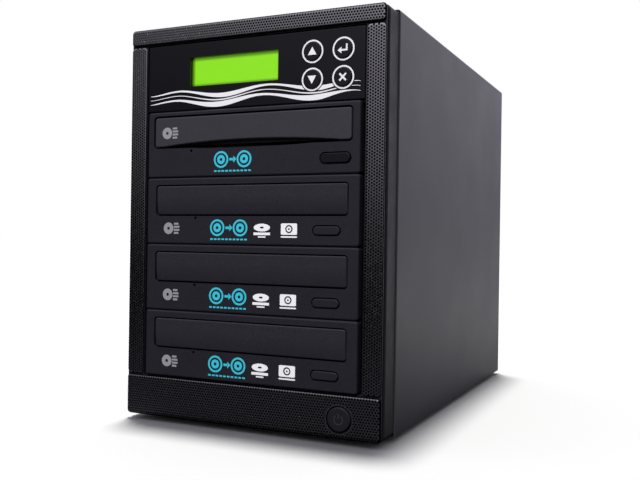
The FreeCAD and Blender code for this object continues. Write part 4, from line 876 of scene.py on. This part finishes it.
@dataclass
class ControlPanel:
    """The polished control panel: lit display, four ringed keys and printed waves.

    Attributes:
        face, cap_face: depths of the panel and of the key caps.
        screen_middle, screen_size: place and visible size of the display.
        screen_front, screen_thick: depth of its front and its thickness.
        screen_corner, corner_steps: radius of its corners and the steps around each.
        screen_lap: how far its glass goes on past the visible size.
        glow_inset: margin along its edge that stays at the dimmest glow, as painted shade.
        key_columns, key_rows: places of the keys.
        ring_outside, ring_inside, ring_steps: diameters of the key rings and the points around them.
        arrow, cross_arm: corners of an arrow, and of one arm of the cross.
        return_head: corners of the return arrow's head.
        return_foot, return_stem, return_stroke: middle and length of its two bars, and their width.
        wave_from, wave_to, wave_level: ends of the waves and their middle line.
        wave_length, wave_swing: length of a wave, and how far it goes up and down.
        wave_thin, wave_even: least half height, and the share of the fullness that never fades.
        wave_phase: shift of the swell along the wave.
        wave_steps, taper_steps: steps along a wave, and along its tapered ends.
        wave_gap: distance that the waves keep from the key rings.
        wave_least: half height below which a wave breaks off.
        strokes: the waves from the lowest up.
    """

    face: float = -150.5
    cap_face: float = -151.2
    screen_middle: Point = (-12.2, 223.7)
    screen_size: Point = (63.0, 18.4)
    screen_front: float = -147.15
    screen_corner: float = 1.2
    corner_steps: int = 4
    screen_lap: float = 0.2
    screen_thick: float = 0.5
    glow_inset: float = 0.4
    key_columns: Point = (42.2, 62.0)
    key_rows: Point = (229.6, 213.1)
    ring_outside: float = 13.8
    ring_inside: float = 11.9
    ring_steps: int = 64
    arrow: tuple[Point, ...] = ((-2.8, -2.1), (2.8, -2.1), (0.0, 2.7))
    return_head: tuple[Point, ...] = ((-3.4, -0.9), (-1.0, -2.8), (-1.0, 1.0))
    return_foot: Point3 = (0.9, -0.9, 3.8)
    return_stem: Point3 = (2.3, 1.1, 3.0)
    return_stroke: float = 1.0
    cross_arm: tuple[Point, ...] = ((2.44, 1.66), (1.66, 2.44), (0.0, 0.78))
    wave_from: float = -74.0
    wave_to: float = 73.0
    wave_level: float = 206.6
    wave_length: float = 66.0
    wave_swing: float = 2.1
    wave_thin: float = 0.12
    wave_even: float = 0.35
    wave_phase: float = 0.6
    wave_steps: int = 480
    taper_steps: int = 80
    wave_gap: float = 0.6
    wave_least: float = 0.01
    strokes: tuple[Wave, ...] = (Wave(-2.2, 1.5, 0.0), Wave(0.6, 0.28, 0.03), Wave(3.4, 1.25, 0.06))

    def build(self) -> None:
        """Makes the display, the rings, the key signs and the waves."""
        self.display()
        self.rings()
        self.signs()
        self.waves()

    def display(self) -> None:
        """Makes the glowing glass that lies in the module's recess."""
        half_x, half_z = (size / 2 for size in self.screen_size)
        x, z = self.screen_middle
        inset = self.screen_corner - self.screen_lap
        outline = []
        for turn, (s, t) in zip((180, 270, 0, 90), CORNERS):
            for step in range(self.corner_steps + 1):
                angle = math.radians(turn + 90 * step / self.corner_steps)
                outline.append((x + s * (half_x - inset) + self.screen_corner * math.cos(angle),
                                z + t * (half_z - inset) + self.screen_corner * math.sin(angle)))
        work = FlatWork()
        work.patch(outline)
        finish = LitDisplay("liquid_crystal_backlit_green", "#8ee814", 0.6, middle=self.screen_middle,
                            half=(half_x - self.glow_inset, half_z - self.glow_inset))
        glass = work.piece("display_glass", self.screen_front, finish, self.screen_thick)
        settle(glass, "cabinet", "screen_lit")

    def rings(self) -> None:
        """Prints a silver ring around each key."""
        work = FlatWork()
        for x in self.key_columns:
            for z in self.key_rows:
                work.ring(x, z, self.ring_outside, self.ring_inside, self.ring_steps)
        settle(work.piece("key_rings", self.face - 2 * INK_PROUD, SILVER_INK), "cabinet", "panel_gloss")

    def signs(self) -> None:
        """Prints an arrow, a return arrow or a cross on each key cap."""
        left, right = self.key_columns
        high, low = self.key_rows
        works = {key: FlatWork() for key in ("up_key", "down_key", "enter_key", "escape_key")}
        for key, z, way in (("up_key", high, 1), ("down_key", low, -1)):
            works[key].patch([(left + way * x, z + way * up) for x, up in self.arrow])
        works["enter_key"].patch([(right + x, high + up) for x, up in self.return_head])
        for (x, up, length), lean in ((self.return_foot, 0), (self.return_stem, 90)):
            works["enter_key"].bar(right + x, high + up, length, self.return_stroke, lean)
        turns = [(math.cos(turn), math.sin(turn)) for turn in (FULL_TURN * step / 4 for step in range(4))]
        works["escape_key"].patch([(right + cos * x - sin * up, low + sin * x + cos * up)
                                   for cos, sin in turns for x, up in self.cross_arm])
        for key, work in works.items():
            piece = work.piece(key + "_sign", self.cap_face - INK_PROUD, SILVER_INK)
            settle(piece, key + "_cap", "key_gloss")

    def wave_edges(self, wave: Wave, step: int) -> Point3:
        """Gives a wave's place and its lower and upper edge, which ends short of the key rings.

        Args:
            wave: wave that is followed.
            step: how many steps lie behind, from the left end.

        Returns:
            The place across, the lower edge and the upper edge.
        """
        x = self.wave_from + (self.wave_to - self.wave_from) * step / self.wave_steps
        turn = FULL_TURN * ((x - self.wave_from) / self.wave_length - wave.lag)
        taper = min(1.0, step / self.taper_steps, (self.wave_steps - step) / self.taper_steps)
        z = self.wave_level + wave.lift + self.wave_swing * math.sin(turn) * math.sqrt(taper)
        swell = self.wave_even + (1 - self.wave_even) * math.cos(turn / 2 + self.wave_phase) ** 2
        half = self.wave_thin + wave.fullness * taper * swell
        high, clear = z + half, self.ring_outside / 2 + self.wave_gap
        for key in self.key_columns:
            if abs(x - key) < clear:
                high = min(high, self.key_rows[1] - math.sqrt(clear ** 2 - (x - key) ** 2))
        return x, z - half, high

    def waves(self) -> None:
        """Prints two broad silver waves in step, with a fine line between them."""
        work = FlatWork()
        for wave in self.strokes:
            spine: list[Point3] = []
            for step in range(self.wave_steps + 1):
                x, low, high = self.wave_edges(wave, step)
                half = (high - low) / 2
                if half > self.wave_least:
                    spine.append((x, (low + high) / 2, half))
                elif spine:
                    work.ribbon(spine)
                    spine = []
            work.ribbon(spine)
        settle(work.piece("panel_waves", self.face - INK_PROUD, SILVER_INK), "cabinet", "panel_gloss")


class DriveKind(Enum):
    """What a drive in the stack does."""

    READER = "reader"
    WRITER = "writer"


@dataclass
class DriveMarks:
    """Printed signs on one drive, placed from the middle and the foot of its face.

    Attributes:
        label: name of the drive in the construction model.
        kind: what the drive does.
        foot: level of the foot of its face.
        face, door_face: depths of its face and of its tray door.
        copy_spots, door_spot, disc_spot, tray_spot, write_spot: middles of the signs.
        copy_half, copy_rings: distance of the two discs from the arrow, and the diameters of their rings.
        copy_shaft, copy_head: middle, length and width of the arrow's shaft, and the corners of its head.
        dashes, dash_from, dash_step, dash_size: number of dashes, the first one's place, step and size.
        disc_ring: middle and diameters of the small disc.
        disc_bars: level in steps, and length, of each bar beside it.
        disc_bar_from, disc_bar_step, disc_bar_width: left end of those bars, their step and width.
        tray_disc, tray_disc_lift, tray_disc_flatness: diameters of the lying disc, its lift and flatness.
        tray_disc_steps: points around it.
        tray_bars: lift, length and width of the bars under it.
        tile_half, tile_hole, tile_steps: half size of the tile, its round hole and the points around it.
        tile_disc: diameters of the ring in that hole.
        tile_line: lift and width of the line under the tile.
    """

    label: str
    kind: DriveKind
    foot: float
    face: float
    door_face: float
    copy_spots: tuple[tuple[DriveKind, Point], ...] = ((DriveKind.READER, (-10.5, 10.5)),
                                                       (DriveKind.WRITER, (-12.6, 10.5)))
    door_spot: Point = (-57.0, 28.4)
    disc_spot: Point = (-55.0, 9.9)
    tray_spot: Point = (10.8, 9.6)
    write_spot: Point = (29.2, 10.0)
    copy_half: float = 8.2
    copy_rings: tuple[Point, ...] = ((10.4, 8.0), (5.6, 2.0))
    copy_shaft: Point3 = (-0.7, 3.0, 1.5)
    copy_head: tuple[Point, ...] = ((0.6, -2.1), (2.8, 0.0), (0.6, 2.1))
    dashes: int = 10
    dash_from: Point = (-12.2, -7.1)
    dash_step: float = 2.71
    dash_size: Point = (1.9, 1.0)
    disc_ring: Point3 = (-2.2, 7.4, 2.0)
    disc_bars: tuple[Point, ...] = ((-1.5, 3.4), (-0.5, 4.2), (0.5, 4.2), (1.5, 3.4))
    disc_bar_from: float = 1.9
    disc_bar_step: float = 1.95
    disc_bar_width: float = 1.25
    tray_disc: Point = (11.2, 2.8)
    tray_disc_lift: float = 1.2
    tray_disc_flatness: float = 0.42
    tray_disc_steps: int = 40
    tray_bars: tuple[Point3, ...] = ((-2.6, 11.4, 1.6), (-4.5, 5.2, 0.8))
    tile_half: Point = (5.4, 3.4)
    tile_hole: float = 4.9
    tile_steps: int = 48
    tile_disc: Point = (3.2, 1.2)
    tile_line: Point = (-4.7, 0.9)

    def build(self) -> None:
        """Prints the signs that this kind of drive has."""
        self.copy_sign(dict(self.copy_spots)[self.kind])
        if self.kind is DriveKind.READER:
            self.disc_sign("door_sign", self.door_spot, self.label + "_carriage", self.door_face)
        else:
            self.disc_sign("disc_sign", self.disc_spot, "cabinet", self.face)
            self.tray_sign()
            self.write_sign()

    def finish_sign(self, name: str, work: FlatWork, ink: Finish, body: str = "cabinet",
                    level: float | None = None) -> None:
        """Makes one sign out of its flat shapes.

        Args:
            name: name of the sign.
            work: shapes, placed from the middle and the foot of the drive's face.
            ink: ink that prints it.
            body: body that it moves with.
            level: depth of the surface under it, or none for the drive's face.
        """
        work.corners = [(x, self.foot + height) for x, height in work.corners]
        front = (self.face if level is None else level) - INK_PROUD
        piece = work.piece(f"{self.label}_{name}", front, ink)
        settle(piece, body, "drive_plastic" if body == "cabinet" else "reader_door_plastic")

    def copy_sign(self, spot: Point) -> None:
        """Prints two discs with an arrow between them over a row of dashes, in cyan.

        Args:
            spot: middle of the arrow.
        """
        x, z = spot
        work = FlatWork()
        for side in Side:
            for outside, inside in self.copy_rings:
                work.ring(x + side.value * self.copy_half, z, outside, inside)
        shaft_x, length, width = self.copy_shaft
        work.bar(x + shaft_x, z, length, width)
        work.patch([(x + across, z + up) for across, up in self.copy_head])
        dash_x, dash_z = self.dash_from
        for dash in range(self.dashes):
            work.bar(x + dash_x + self.dash_step * dash, z + dash_z, *self.dash_size)
        self.finish_sign("copy_sign", work, CYAN_INK)

    def disc_sign(self, name: str, spot: Point, body: str, level: float) -> None:
        """Prints a small disc beside four short bars, in grey.

        Args:
            name: name of the sign.
            spot: middle of the sign.
            body: body that it moves with.
            level: depth of the surface under it.
        """
        x, z = spot
        ring_x, outside, inside = self.disc_ring
        work = FlatWork()
        work.ring(x + ring_x, z, outside, inside)
        for step, length in self.disc_bars:
            work.bar(x + self.disc_bar_from + length / 2, z + self.disc_bar_step * step, length,
                     self.disc_bar_width)
        self.finish_sign(name, work, GREY_INK, body, level)

    def tray_sign(self) -> None:
        """Prints a disc that lies on an open tray, in white."""
        x, z = self.tray_spot
        level = z + self.tray_disc_lift
        outer, inner = ([(x + across, level + self.tray_disc_flatness * up)
                         for across, up in ring_points(0, 0, size, self.tray_disc_steps)]
                        for size in self.tray_disc)
        work = FlatWork()
        work.band(outer, inner, True)
        for up, length, width in self.tray_bars:
            work.bar(x, z + up, length, width)
        self.finish_sign("tray_sign", work, WHITE_INK)

    def write_sign(self) -> None:
        """Prints a white tile with a disc left open in it, over a line."""
        x, z = self.write_spot
        half_x, half_z = self.tile_half
        tile = []
        for across, up in ring_points(0, 0, 2, self.tile_steps):
            reach = min(half_x / max(abs(across), LEAST), half_z / max(abs(up), LEAST))
            tile.append((x + reach * across, z + reach * up))
        work = FlatWork()
        work.band(tile, ring_points(x, z, self.tile_hole, self.tile_steps), True)
        work.ring(x, z, *self.tile_disc, SMALL_STEPS)
        line_z, line_width = self.tile_line
        work.bar(x, z + line_z, 2 * half_x, line_width)
        self.finish_sign("write_sign", work, WHITE_INK)


@dataclass
class DriveStack:
    """The four drives of the tower from the foot up."""

    lowest: float = 30.0
    pitch: float = 42.3
    labels: tuple[str, ...] = ("writer_3", "writer_2", "writer_1", "reader")

    def build(self) -> None:
        """Prints the signs of every drive."""
        for level, label in enumerate(self.labels):
            kind = DriveKind(label.split("_")[0])
            face, door = (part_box(f"{label}_{part}")[0].y / MM for part in ("face", "door"))
            DriveMarks(label, kind, self.lowest + level * self.pitch, face, door).build()


@dataclass
class PowerButton:
    """The round button in the foot of the front."""

    middle: Point = (63.0, 14.8)
    arc_radii: Point = (3.0, 2.4)
    arc_from: float = 130.0
    arc_turn: float = 280.0
    arc_steps: int = 32
    bar_lift: float = 2.0
    bar_size: Point = (3.0, 0.6)

    def build(self) -> None:
        """Prints a faint broken ring with a bar on the cap."""
        x, z = self.middle
        turns = [math.radians(self.arc_from + self.arc_turn * step / self.arc_steps)
                 for step in range(self.arc_steps + 1)]
        outer, inner = ([(x + radius * math.cos(turn), z + radius * math.sin(turn)) for turn in turns]
                        for radius in self.arc_radii)
        work = FlatWork()
        work.band(outer, inner, False)
        work.bar(x, z + self.bar_lift, *self.bar_size, 90)
        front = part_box("power_button")[0].y / MM
        settle(work.piece("power_sign", front - INK_PROUD, DARK_INK), "power_button_cap", "frame_plastic")


@dataclass(frozen=True)
class Section:
    """One section of a turned piece: its height over the seat and its outline about the axis.

    Attributes:
        height: height over the seat.
        radius: outer radius, or the reach of the arms.
        knurl: depth of the knurl.
        arms: none for a round section, one for a slot and two for a cross.
        arm_half: half the width of an arm.
    """

    height: float
    radius: float
    knurl: float = 0.0
    arms: int = 0
    arm_half: float = 0.5

    def reach(self, step: int, steps: int) -> float:
        """Gives the radius at one of the evenly spread angles.

        Args:
            step: number of the angle.
            steps: how many angles go round.

        Returns:
            The radius of a round, knurled, slotted or crossed outline.
        """
        if not self.arms:
            return self.radius - self.knurl * (step % 2)
        spans = []
        for arm in range(self.arms):
            turn = FULL_TURN * step / steps - arm * math.pi / 2
            along, across = (max(abs(share), LEAST) for share in (math.cos(turn), math.sin(turn)))
            spans.append(min(self.radius / along, self.arm_half / across))
        return max(spans)


@dataclass
class TurnedSet:
    """Equal turned fasteners that face the back of the tower.

    Attributes:
        name: name of the piece.
        places: middles of the fasteners.
        seat: depth of the surface under their heads.
        sections: sections from the tip of the shank to the floor of the recess.
        steps: points around a section.
        sharp: angle in degrees above which an edge stays sharp.
    """

    name: str
    places: list[Point]
    seat: float
    sections: list[Section]
    steps: int = 48
    sharp: float = 35.0

    def piece(self) -> bpy.types.Object:
        """Makes all fasteners of the set as one piece.

        Returns:
            The new object.
        """
        corners: list[Point3] = []
        faces: list[list[int]] = []
        for x, z in self.places:
            first = len(corners)
            for section in self.sections:
                for step in range(self.steps):
                    turn, reach = FULL_TURN * step / self.steps, section.reach(step, self.steps)
                    corners.append((x + reach * math.cos(turn), self.seat + section.height,
                                    z + reach * math.sin(turn)))
            last = len(corners) - self.steps
            for here in range(first, last, self.steps):
                there = here + self.steps
                for step in range(self.steps):
                    after = (step + 1) % self.steps
                    faces.append([here + step, there + step, there + after, here + after])
            faces.append(list(range(first, first + self.steps)))
            faces.append(list(reversed(range(last, last + self.steps))))
        piece = make_piece(self.name, corners, faces, FINISHES["screw_black"])
        soften(piece.data, self.sharp)
        return piece


@dataclass
class RearFittings:
    """Screws, thumbscrews and the mains switch's signs at the back.

    Attributes:
        fan_middle, fan_half: level of the fan, and how far its screws are from its middle.
        fan_seat, fan_head: depth of the surface under those screws and the radius of their heads.
        supply_x, supply_levels, supply_head: places and head radius of the power supply's screws.
        panel_skin: depth of the rear panel.
        thumb_x, thumb_levels, thumb_steps: places of the thumbscrews and the points around them.
        cover_back: depth of the cover's rear flange.
        shank, shank_length: radius and length of the shank under each head.
        pan_dome, pan_recess: heights in a pan head, each with its share of the head's radius.
        recess_arm: half the width of the recess's arms, as a share of that radius.
        thumb_grip: heights, radii and knurl depths of a thumbscrew.
        thumb_slot, slot_half: heights and reach of its driver slot, and half the slot's width.
        rocker_axle, rocker_tilt: hinge of the switch's paddle and its angle at rest.
        rocker_slope: angle of each half of the paddle.
        rocker_sign: how far a sign lies out from the hinge and away from it along the paddle.
        rocker_bar, rocker_ring: size of the bar and diameters of the ring.
    """

    fan_middle: float = 153.0
    fan_half: float = 35.75
    fan_seat: float = 149.3
    fan_head: float = 3.7
    supply_x: float = 59.6
    supply_levels: Point = (10.0, 61.5)
    supply_head: float = 3.0
    panel_skin: float = 147.7
    thumb_x: float = 84.0
    thumb_levels: Point = (43.0, 214.0)
    thumb_steps: int = 72
    cover_back: float = 148.5
    shank: float = 1.5
    shank_length: float = 5.0
    pan_dome: tuple[Point, ...] = ((0.0, 1.0), (0.9, 1.0), (1.5, 0.92), (1.9, 0.74))
    pan_recess: tuple[Point, ...] = ((2.0, 0.58), (0.8, 0.4))
    recess_arm: float = 0.16
    thumb_grip: tuple[Point3, ...] = ((0.0, 4.3, 0.0), (0.7, 5.0, 0.35), (3.9, 5.0, 0.35), (4.5, 4.3, 0.0))
    thumb_slot: tuple[Point, ...] = ((4.6, 3.6), (3.4, 3.6))
    slot_half: float = 0.6
    rocker_axle: Point3 = (-40.0, 145.9, 46.5)
    rocker_tilt: float = -8.0
    rocker_slope: float = 13.45
    rocker_sign: Point = (2.3, 4.6)
    rocker_bar: Point = (3.6, 0.8)
    rocker_ring: Point = (3.8, 2.4)

    def build(self) -> None:
        """Makes every fastener set and the switch's signs."""
        fan_levels = (self.fan_middle - self.fan_half, self.fan_middle + self.fan_half)
        fan = TurnedSet("fan_screw_heads", self.spots(self.fan_half, fan_levels), self.fan_seat,
                        self.pan_head(self.fan_head))
        supply = TurnedSet("supply_screw_heads", self.spots(self.supply_x, self.supply_levels),
                           self.panel_skin, self.pan_head(self.supply_head))
        thumbs = TurnedSet("thumbscrew_heads", self.spots(self.thumb_x, self.thumb_levels), self.cover_back,
                           self.thumb_head(), self.thumb_steps)
        for fasteners, node in ((fan, "rear_screws"), (supply, "rear_screws"), (thumbs, "cover_thumbscrews")):
            settle(fasteners.piece(), "cabinet", "screw_black", node)
        self.switch_signs()

    def spots(self, across: float, levels: Point) -> list[Point]:
        """Gives the four places at both sides and two levels."""
        return [(side.value * across, level) for side in Side for level in levels]

    def stem(self) -> list[Section]:
        """Gives the sections of the short shank under a head."""
        return [Section(-self.shank_length, self.shank), Section(0.0, self.shank)]

    def pan_head(self, radius: float) -> list[Section]:
        """Gives the sections of a pan head with a cross recess.

        Args:
            radius: radius of the head.

        Returns:
            The sections from the tip of the shank to the floor of the recess.
        """
        dome = [Section(height, share * radius) for height, share in self.pan_dome]
        recess = [Section(height, share * radius, arms=2, arm_half=self.recess_arm * radius)
                  for height, share in self.pan_recess]
        return self.stem() + dome + recess

    def thumb_head(self) -> list[Section]:
        """Gives the sections of a knurled head with a driver slot."""
        slot = [Section(*end, arms=1, arm_half=self.slot_half) for end in self.thumb_slot]
        return self.stem() + [Section(*grip) for grip in self.thumb_grip] + slot

    def switch_signs(self) -> None:
        """Prints the bar and the ring of the mains switch on the two slopes of its paddle."""
        out, away = self.rocker_sign
        for name, rise in (("on_sign", -1), ("off_sign", 1)):
            work = FlatWork()
            if rise < 0:
                work.bar(0.0, 0.0, *self.rocker_bar, 90)
            else:
                work.ring(0.0, 0.0, *self.rocker_ring, SMALL_STEPS)
            piece = work.piece("rocker_" + name, -INK_PROUD, WHITE_INK)
            slope, tilt = (Matrix.Rotation(math.radians(angle), 4, "X")
                           for angle in (-rise * self.rocker_slope, self.rocker_tilt))
            spot = Matrix.Translation(Vector((0.0, out, rise * away)) * MM)
            about = Matrix.Rotation(math.pi, 4, "Z")
            axle = Matrix.Translation(Vector(self.rocker_axle) * MM)
            piece.data.transform(axle @ tilt @ spot @ slope @ about)
            settle(piece, "mains_rocker_paddle", "rocker_plastic")


@dataclass
class Studio:
    """Pale floor, soft light and the camera at the photograph's angle, in metres.

    Attributes:
        camera_place: place of the camera.
        yaw, pitch, roll: angles of the camera in degrees.
        lens, sensor: its focal length and sensor width in millimetres.
        nearest: distance from which it sees.
        floor_reach: half the width of the floor.
        floor_seen: floor as the eye sees it.
        floor_thrown: floor for the light that it throws back.
        floor_ahead: floor in reflections, far before the tower and close before it.
        floor_behind: floor in reflections, behind the tower.
        floor_start, floor_depth: runs along the depth between those three.
        sky_tint: colour of the light from the surroundings.
        front_rise, back_rise: brightness in reflections by height, at the front and at the back.
        front_drift, back_drift: share of that by distance to the side.
        front_to_back: run from the front to the back.
        soft_light, soft_lean: soft light by direction, and how far that direction leans to the side.
        softbox_power, softbox_size, softbox_place, softbox_aim: lamp that lights the tower.
        overhead_power, overhead_spread, overhead_way: light that gives the floor its shadow.
    """

    camera_place: Point3 = (0.2453, -0.5759, 0.1184)
    yaw: float = -24.80
    pitch: float = 0.0
    roll: float = 0.84
    lens: float = 44.93
    sensor: float = 36.0
    nearest: float = 0.01
    floor_reach: float = 12.0
    floor_seen: str = "#fafaf7"
    floor_thrown: str = "#707070"
    floor_ahead: tuple[str, str] = ("#18181c", "#34343a")
    floor_behind: str = "#c4c4c4"
    floor_start: Slope = Slope(-0.7, -0.25)
    floor_depth: Slope = Slope(-0.2, 0.5)
    sky_tint: str = "#f3f0ff"
    front_rise: Slope = Slope(-0.01, 0.48, 0.015, 0.92)
    front_drift: Slope = Slope(0.2, 0.62, 1.0, 0.4)
    back_rise: Slope = Slope(-0.1, 0.2, 0.22, 1.12)
    back_drift: Slope = Slope(0.2, 0.36, 1.0, 0.64)
    front_to_back: Slope = Slope(0.2, 0.7)
    soft_light: Slope = Slope(-0.6, 0.8, 0.12, 0.6)
    soft_lean: float = -0.7
    softbox_power: float = 128.0
    softbox_size: float = 1.5
    softbox_place: Point3 = (0.45, -1.9, 2.5)
    softbox_aim: Point3 = (0.0, -0.1, 0.13)
    overhead_power: float = 2.62
    overhead_spread: float = 7.5
    overhead_way: Point3 = (0.06, -0.1, -1.0)

    def build(self) -> None:
        """Makes floor, world, lamps and camera."""
        self.floor()
        self.world()
        self.lamps()
        self.camera()
        bpy.context.scene.view_settings.view_transform = "Standard"

    def floor(self) -> None:
        """Makes the floor on which the object throws its shadow."""
        reach = self.floor_reach
        mesh = bpy.data.meshes.new("studio_floor")
        mesh.from_pydata([(s * reach, t * reach, 0) for s, t in CORNERS], [], [[0, 1, 2, 3]])
        mesh.materials.append(self.floor_paper())
        floor = bpy.data.objects.new("studio_floor", mesh)
        bpy.context.scene.collection.objects.link(floor)

    def floor_paper(self) -> bpy.types.Material:
        """Makes paper that is white to the eye, grey for the light it throws back and darker in reflections.

        Returns:
            The floor's material.
        """
        material = bpy.data.materials.new("studio_floor_paper")
        material.use_nodes = True
        tree = material.node_tree
        shader = tree.nodes["Principled BSDF"]
        shader.inputs["Roughness"].default_value = 1.0
        shader.inputs["Specular IOR Level"].default_value = 0.0
        ray = add_node(tree, "ShaderNodeLightPath")
        place = add_node(tree, "ShaderNodeTexCoord")
        axes = add_node(tree, "ShaderNodeSeparateXYZ", links={"Vector": place.outputs["Object"]})
        start, depth = (add_node(tree, "ShaderNodeMapRange", run.settings(), {"Value": axes.outputs["Y"]})
                        for run in (self.floor_start, self.floor_depth))
        far, near = (linear(code) for code in self.floor_ahead)
        ahead = add_node(tree, "ShaderNodeMix", {"data_type": "RGBA", COLOUR_A: far, COLOUR_B: near},
                         {FACTOR: start.outputs["Result"]})
        mirrored = add_node(tree, "ShaderNodeMix", {"data_type": "RGBA", COLOUR_B: linear(self.floor_behind)},
                            {FACTOR: depth.outputs["Result"], COLOUR_A: ahead.outputs[COLOUR_OUT]})
        thrown = add_node(tree, "ShaderNodeMix", {"data_type": "RGBA", COLOUR_A: linear(self.floor_thrown)},
                          {FACTOR: ray.outputs["Is Glossy Ray"], COLOUR_B: mirrored.outputs[COLOUR_OUT]})
        tone = add_node(tree, "ShaderNodeMix", {"data_type": "RGBA", COLOUR_B: linear(self.floor_seen)},
                        {FACTOR: ray.outputs["Is Camera Ray"], COLOUR_A: thrown.outputs[COLOUR_OUT]})
        tree.links.new(tone.outputs[COLOUR_OUT], shader.inputs["Base Color"])
        return material

    def world(self) -> None:
        """Makes the surroundings: white to the eye, soft for lighting and shaped for reflections."""
        world = bpy.data.worlds.new("studio")
        bpy.context.scene.world = world
        world.use_nodes = True
        tree = world.node_tree
        sky = tree.nodes["Background"]
        place = add_node(tree, "ShaderNodeTexCoord")
        axes = add_node(tree, "ShaderNodeSeparateXYZ", links={"Vector": place.outputs["Generated"]})
        ray = add_node(tree, "ShaderNodeLightPath")
        away = add_node(tree, "ShaderNodeMath", {"operation": "MULTIPLY_ADD", 1: self.soft_lean},
                        {0: axes.outputs["X"], 2: axes.outputs["Y"]})
        glow = add_node(tree, "ShaderNodeMapRange", self.soft_light.settings(), {"Value": away.outputs[0]})
        sharp = add_node(tree, "ShaderNodeMath", {"operation": "MAXIMUM"},
                         {0: ray.outputs["Is Glossy Ray"], 1: ray.outputs["Is Transmission Ray"]})
        soft = add_node(tree, "ShaderNodeMix", {"data_type": "FLOAT"},
                        {FACTOR: sharp.outputs[0], VALUE_A: glow.outputs["Result"],
                         VALUE_B: self.shine(tree, axes)})
        level = add_node(tree, "ShaderNodeMix", {"data_type": "FLOAT", VALUE_B: 1.0},
                         {FACTOR: ray.outputs["Is Camera Ray"], VALUE_A: soft.outputs[VALUE_OUT]})
        cast = add_node(tree, "ShaderNodeMix",
                        {"data_type": "RGBA", COLOUR_A: linear(self.sky_tint), COLOUR_B: linear("#ffffff")},
                        {FACTOR: ray.outputs["Is Camera Ray"]})
        tree.links.new(cast.outputs[COLOUR_OUT], sky.inputs["Color"])
        tree.links.new(level.outputs[VALUE_OUT], sky.inputs["Strength"])

    def shine(self, tree: bpy.types.NodeTree, axes: bpy.types.Node) -> Socket:
        """Shapes what reflections see: bright high up and behind, dimmer towards the low front and the sides.

        Args:
            tree: node tree of the world.
            axes: node that gives the direction's parts.

        Returns:
            The brightness in a direction.
        """
        aside = add_node(tree, "ShaderNodeMath", {"operation": "ABSOLUTE"}, {0: axes.outputs["X"]})
        halves = []
        for rise, drift in ((self.front_rise, self.front_drift), (self.back_rise, self.back_drift)):
            climb = add_node(tree, "ShaderNodeMapRange", rise.settings(), {"Value": axes.outputs["Z"]})
            fall = add_node(tree, "ShaderNodeMapRange", drift.settings(), {"Value": aside.outputs[0]})
            halves.append(add_node(tree, "ShaderNodeMath", {"operation": "MULTIPLY"},
                                   {0: climb.outputs["Result"], 1: fall.outputs["Result"]}).outputs[0])
        turn = add_node(tree, "ShaderNodeMapRange", self.front_to_back.settings(),
                        {"Value": axes.outputs["Y"]})
        both = add_node(tree, "ShaderNodeMix", {"data_type": "FLOAT"},
                        {FACTOR: turn.outputs["Result"], VALUE_A: halves[0], VALUE_B: halves[1]})
        return both.outputs[VALUE_OUT]

    def lamps(self) -> None:
        """Makes the soft lamp high in front of the object and the light that gives the floor its shadow."""
        data = bpy.data.lights.new("softbox", "AREA")
        data.energy = self.softbox_power
        data.size = self.softbox_size
        softbox = bpy.data.objects.new("softbox", data)
        softbox.location = self.softbox_place
        softbox.visible_glossy = False
        aim = Vector(self.softbox_aim) - softbox.location
        data = bpy.data.lights.new("overhead", "SUN")
        data.energy = self.overhead_power
        data.angle = math.radians(self.overhead_spread)
        overhead = bpy.data.objects.new("overhead", data)
        for lamp, way, state in ((softbox, aim, "EXCLUDE"), (overhead, Vector(self.overhead_way), "INCLUDE")):
            lamp.rotation_euler = way.to_track_quat("-Z", "Y").to_euler()
            lit = bpy.data.collections.new("floor_under_" + lamp.name)
            lit.objects.link(bpy.data.objects["studio_floor"])
            lit.collection_objects[0].light_linking.link_state = state
            lamp.light_linking.receiver_collection = lit
            bpy.context.scene.collection.objects.link(lamp)

    def camera(self) -> None:
        """Makes the camera with the photograph's place, aim and lens."""
        yaw, pitch, roll = (math.radians(angle) for angle in (self.yaw, self.pitch, self.roll))
        ahead = Vector((math.sin(yaw) * math.cos(pitch), math.cos(yaw) * math.cos(pitch), math.sin(pitch)))
        right = Vector((math.cos(yaw), -math.sin(yaw), 0.0))
        up = right.cross(ahead)
        across = right * math.cos(roll) + up * math.sin(roll)
        upward = up * math.cos(roll) - right * math.sin(roll)
        data = bpy.data.cameras.new("camera")
        data.sensor_width = self.sensor
        data.lens = self.lens
        data.clip_start = self.nearest
        camera = bpy.data.objects.new("camera", data)
        turn = Matrix((across, upward, -ahead)).transposed().to_4x4()
        camera.matrix_world = Matrix.Translation(self.camera_place) @ turn
        bpy.context.scene.collection.objects.link(camera)
        bpy.context.scene.camera = camera


def main() -> None:
    """Dresses the tower, adds its detail pieces and sets up the studio."""
    logging.basicConfig(level=logging.INFO, format="%(message)s")
    dress_nodes()
    for assembly in (FrontScreens(), ControlPanel(), DriveStack(), PowerButton(), RearFittings(), Studio()):
        assembly.build()


if __name__ == "__main__":
    main()
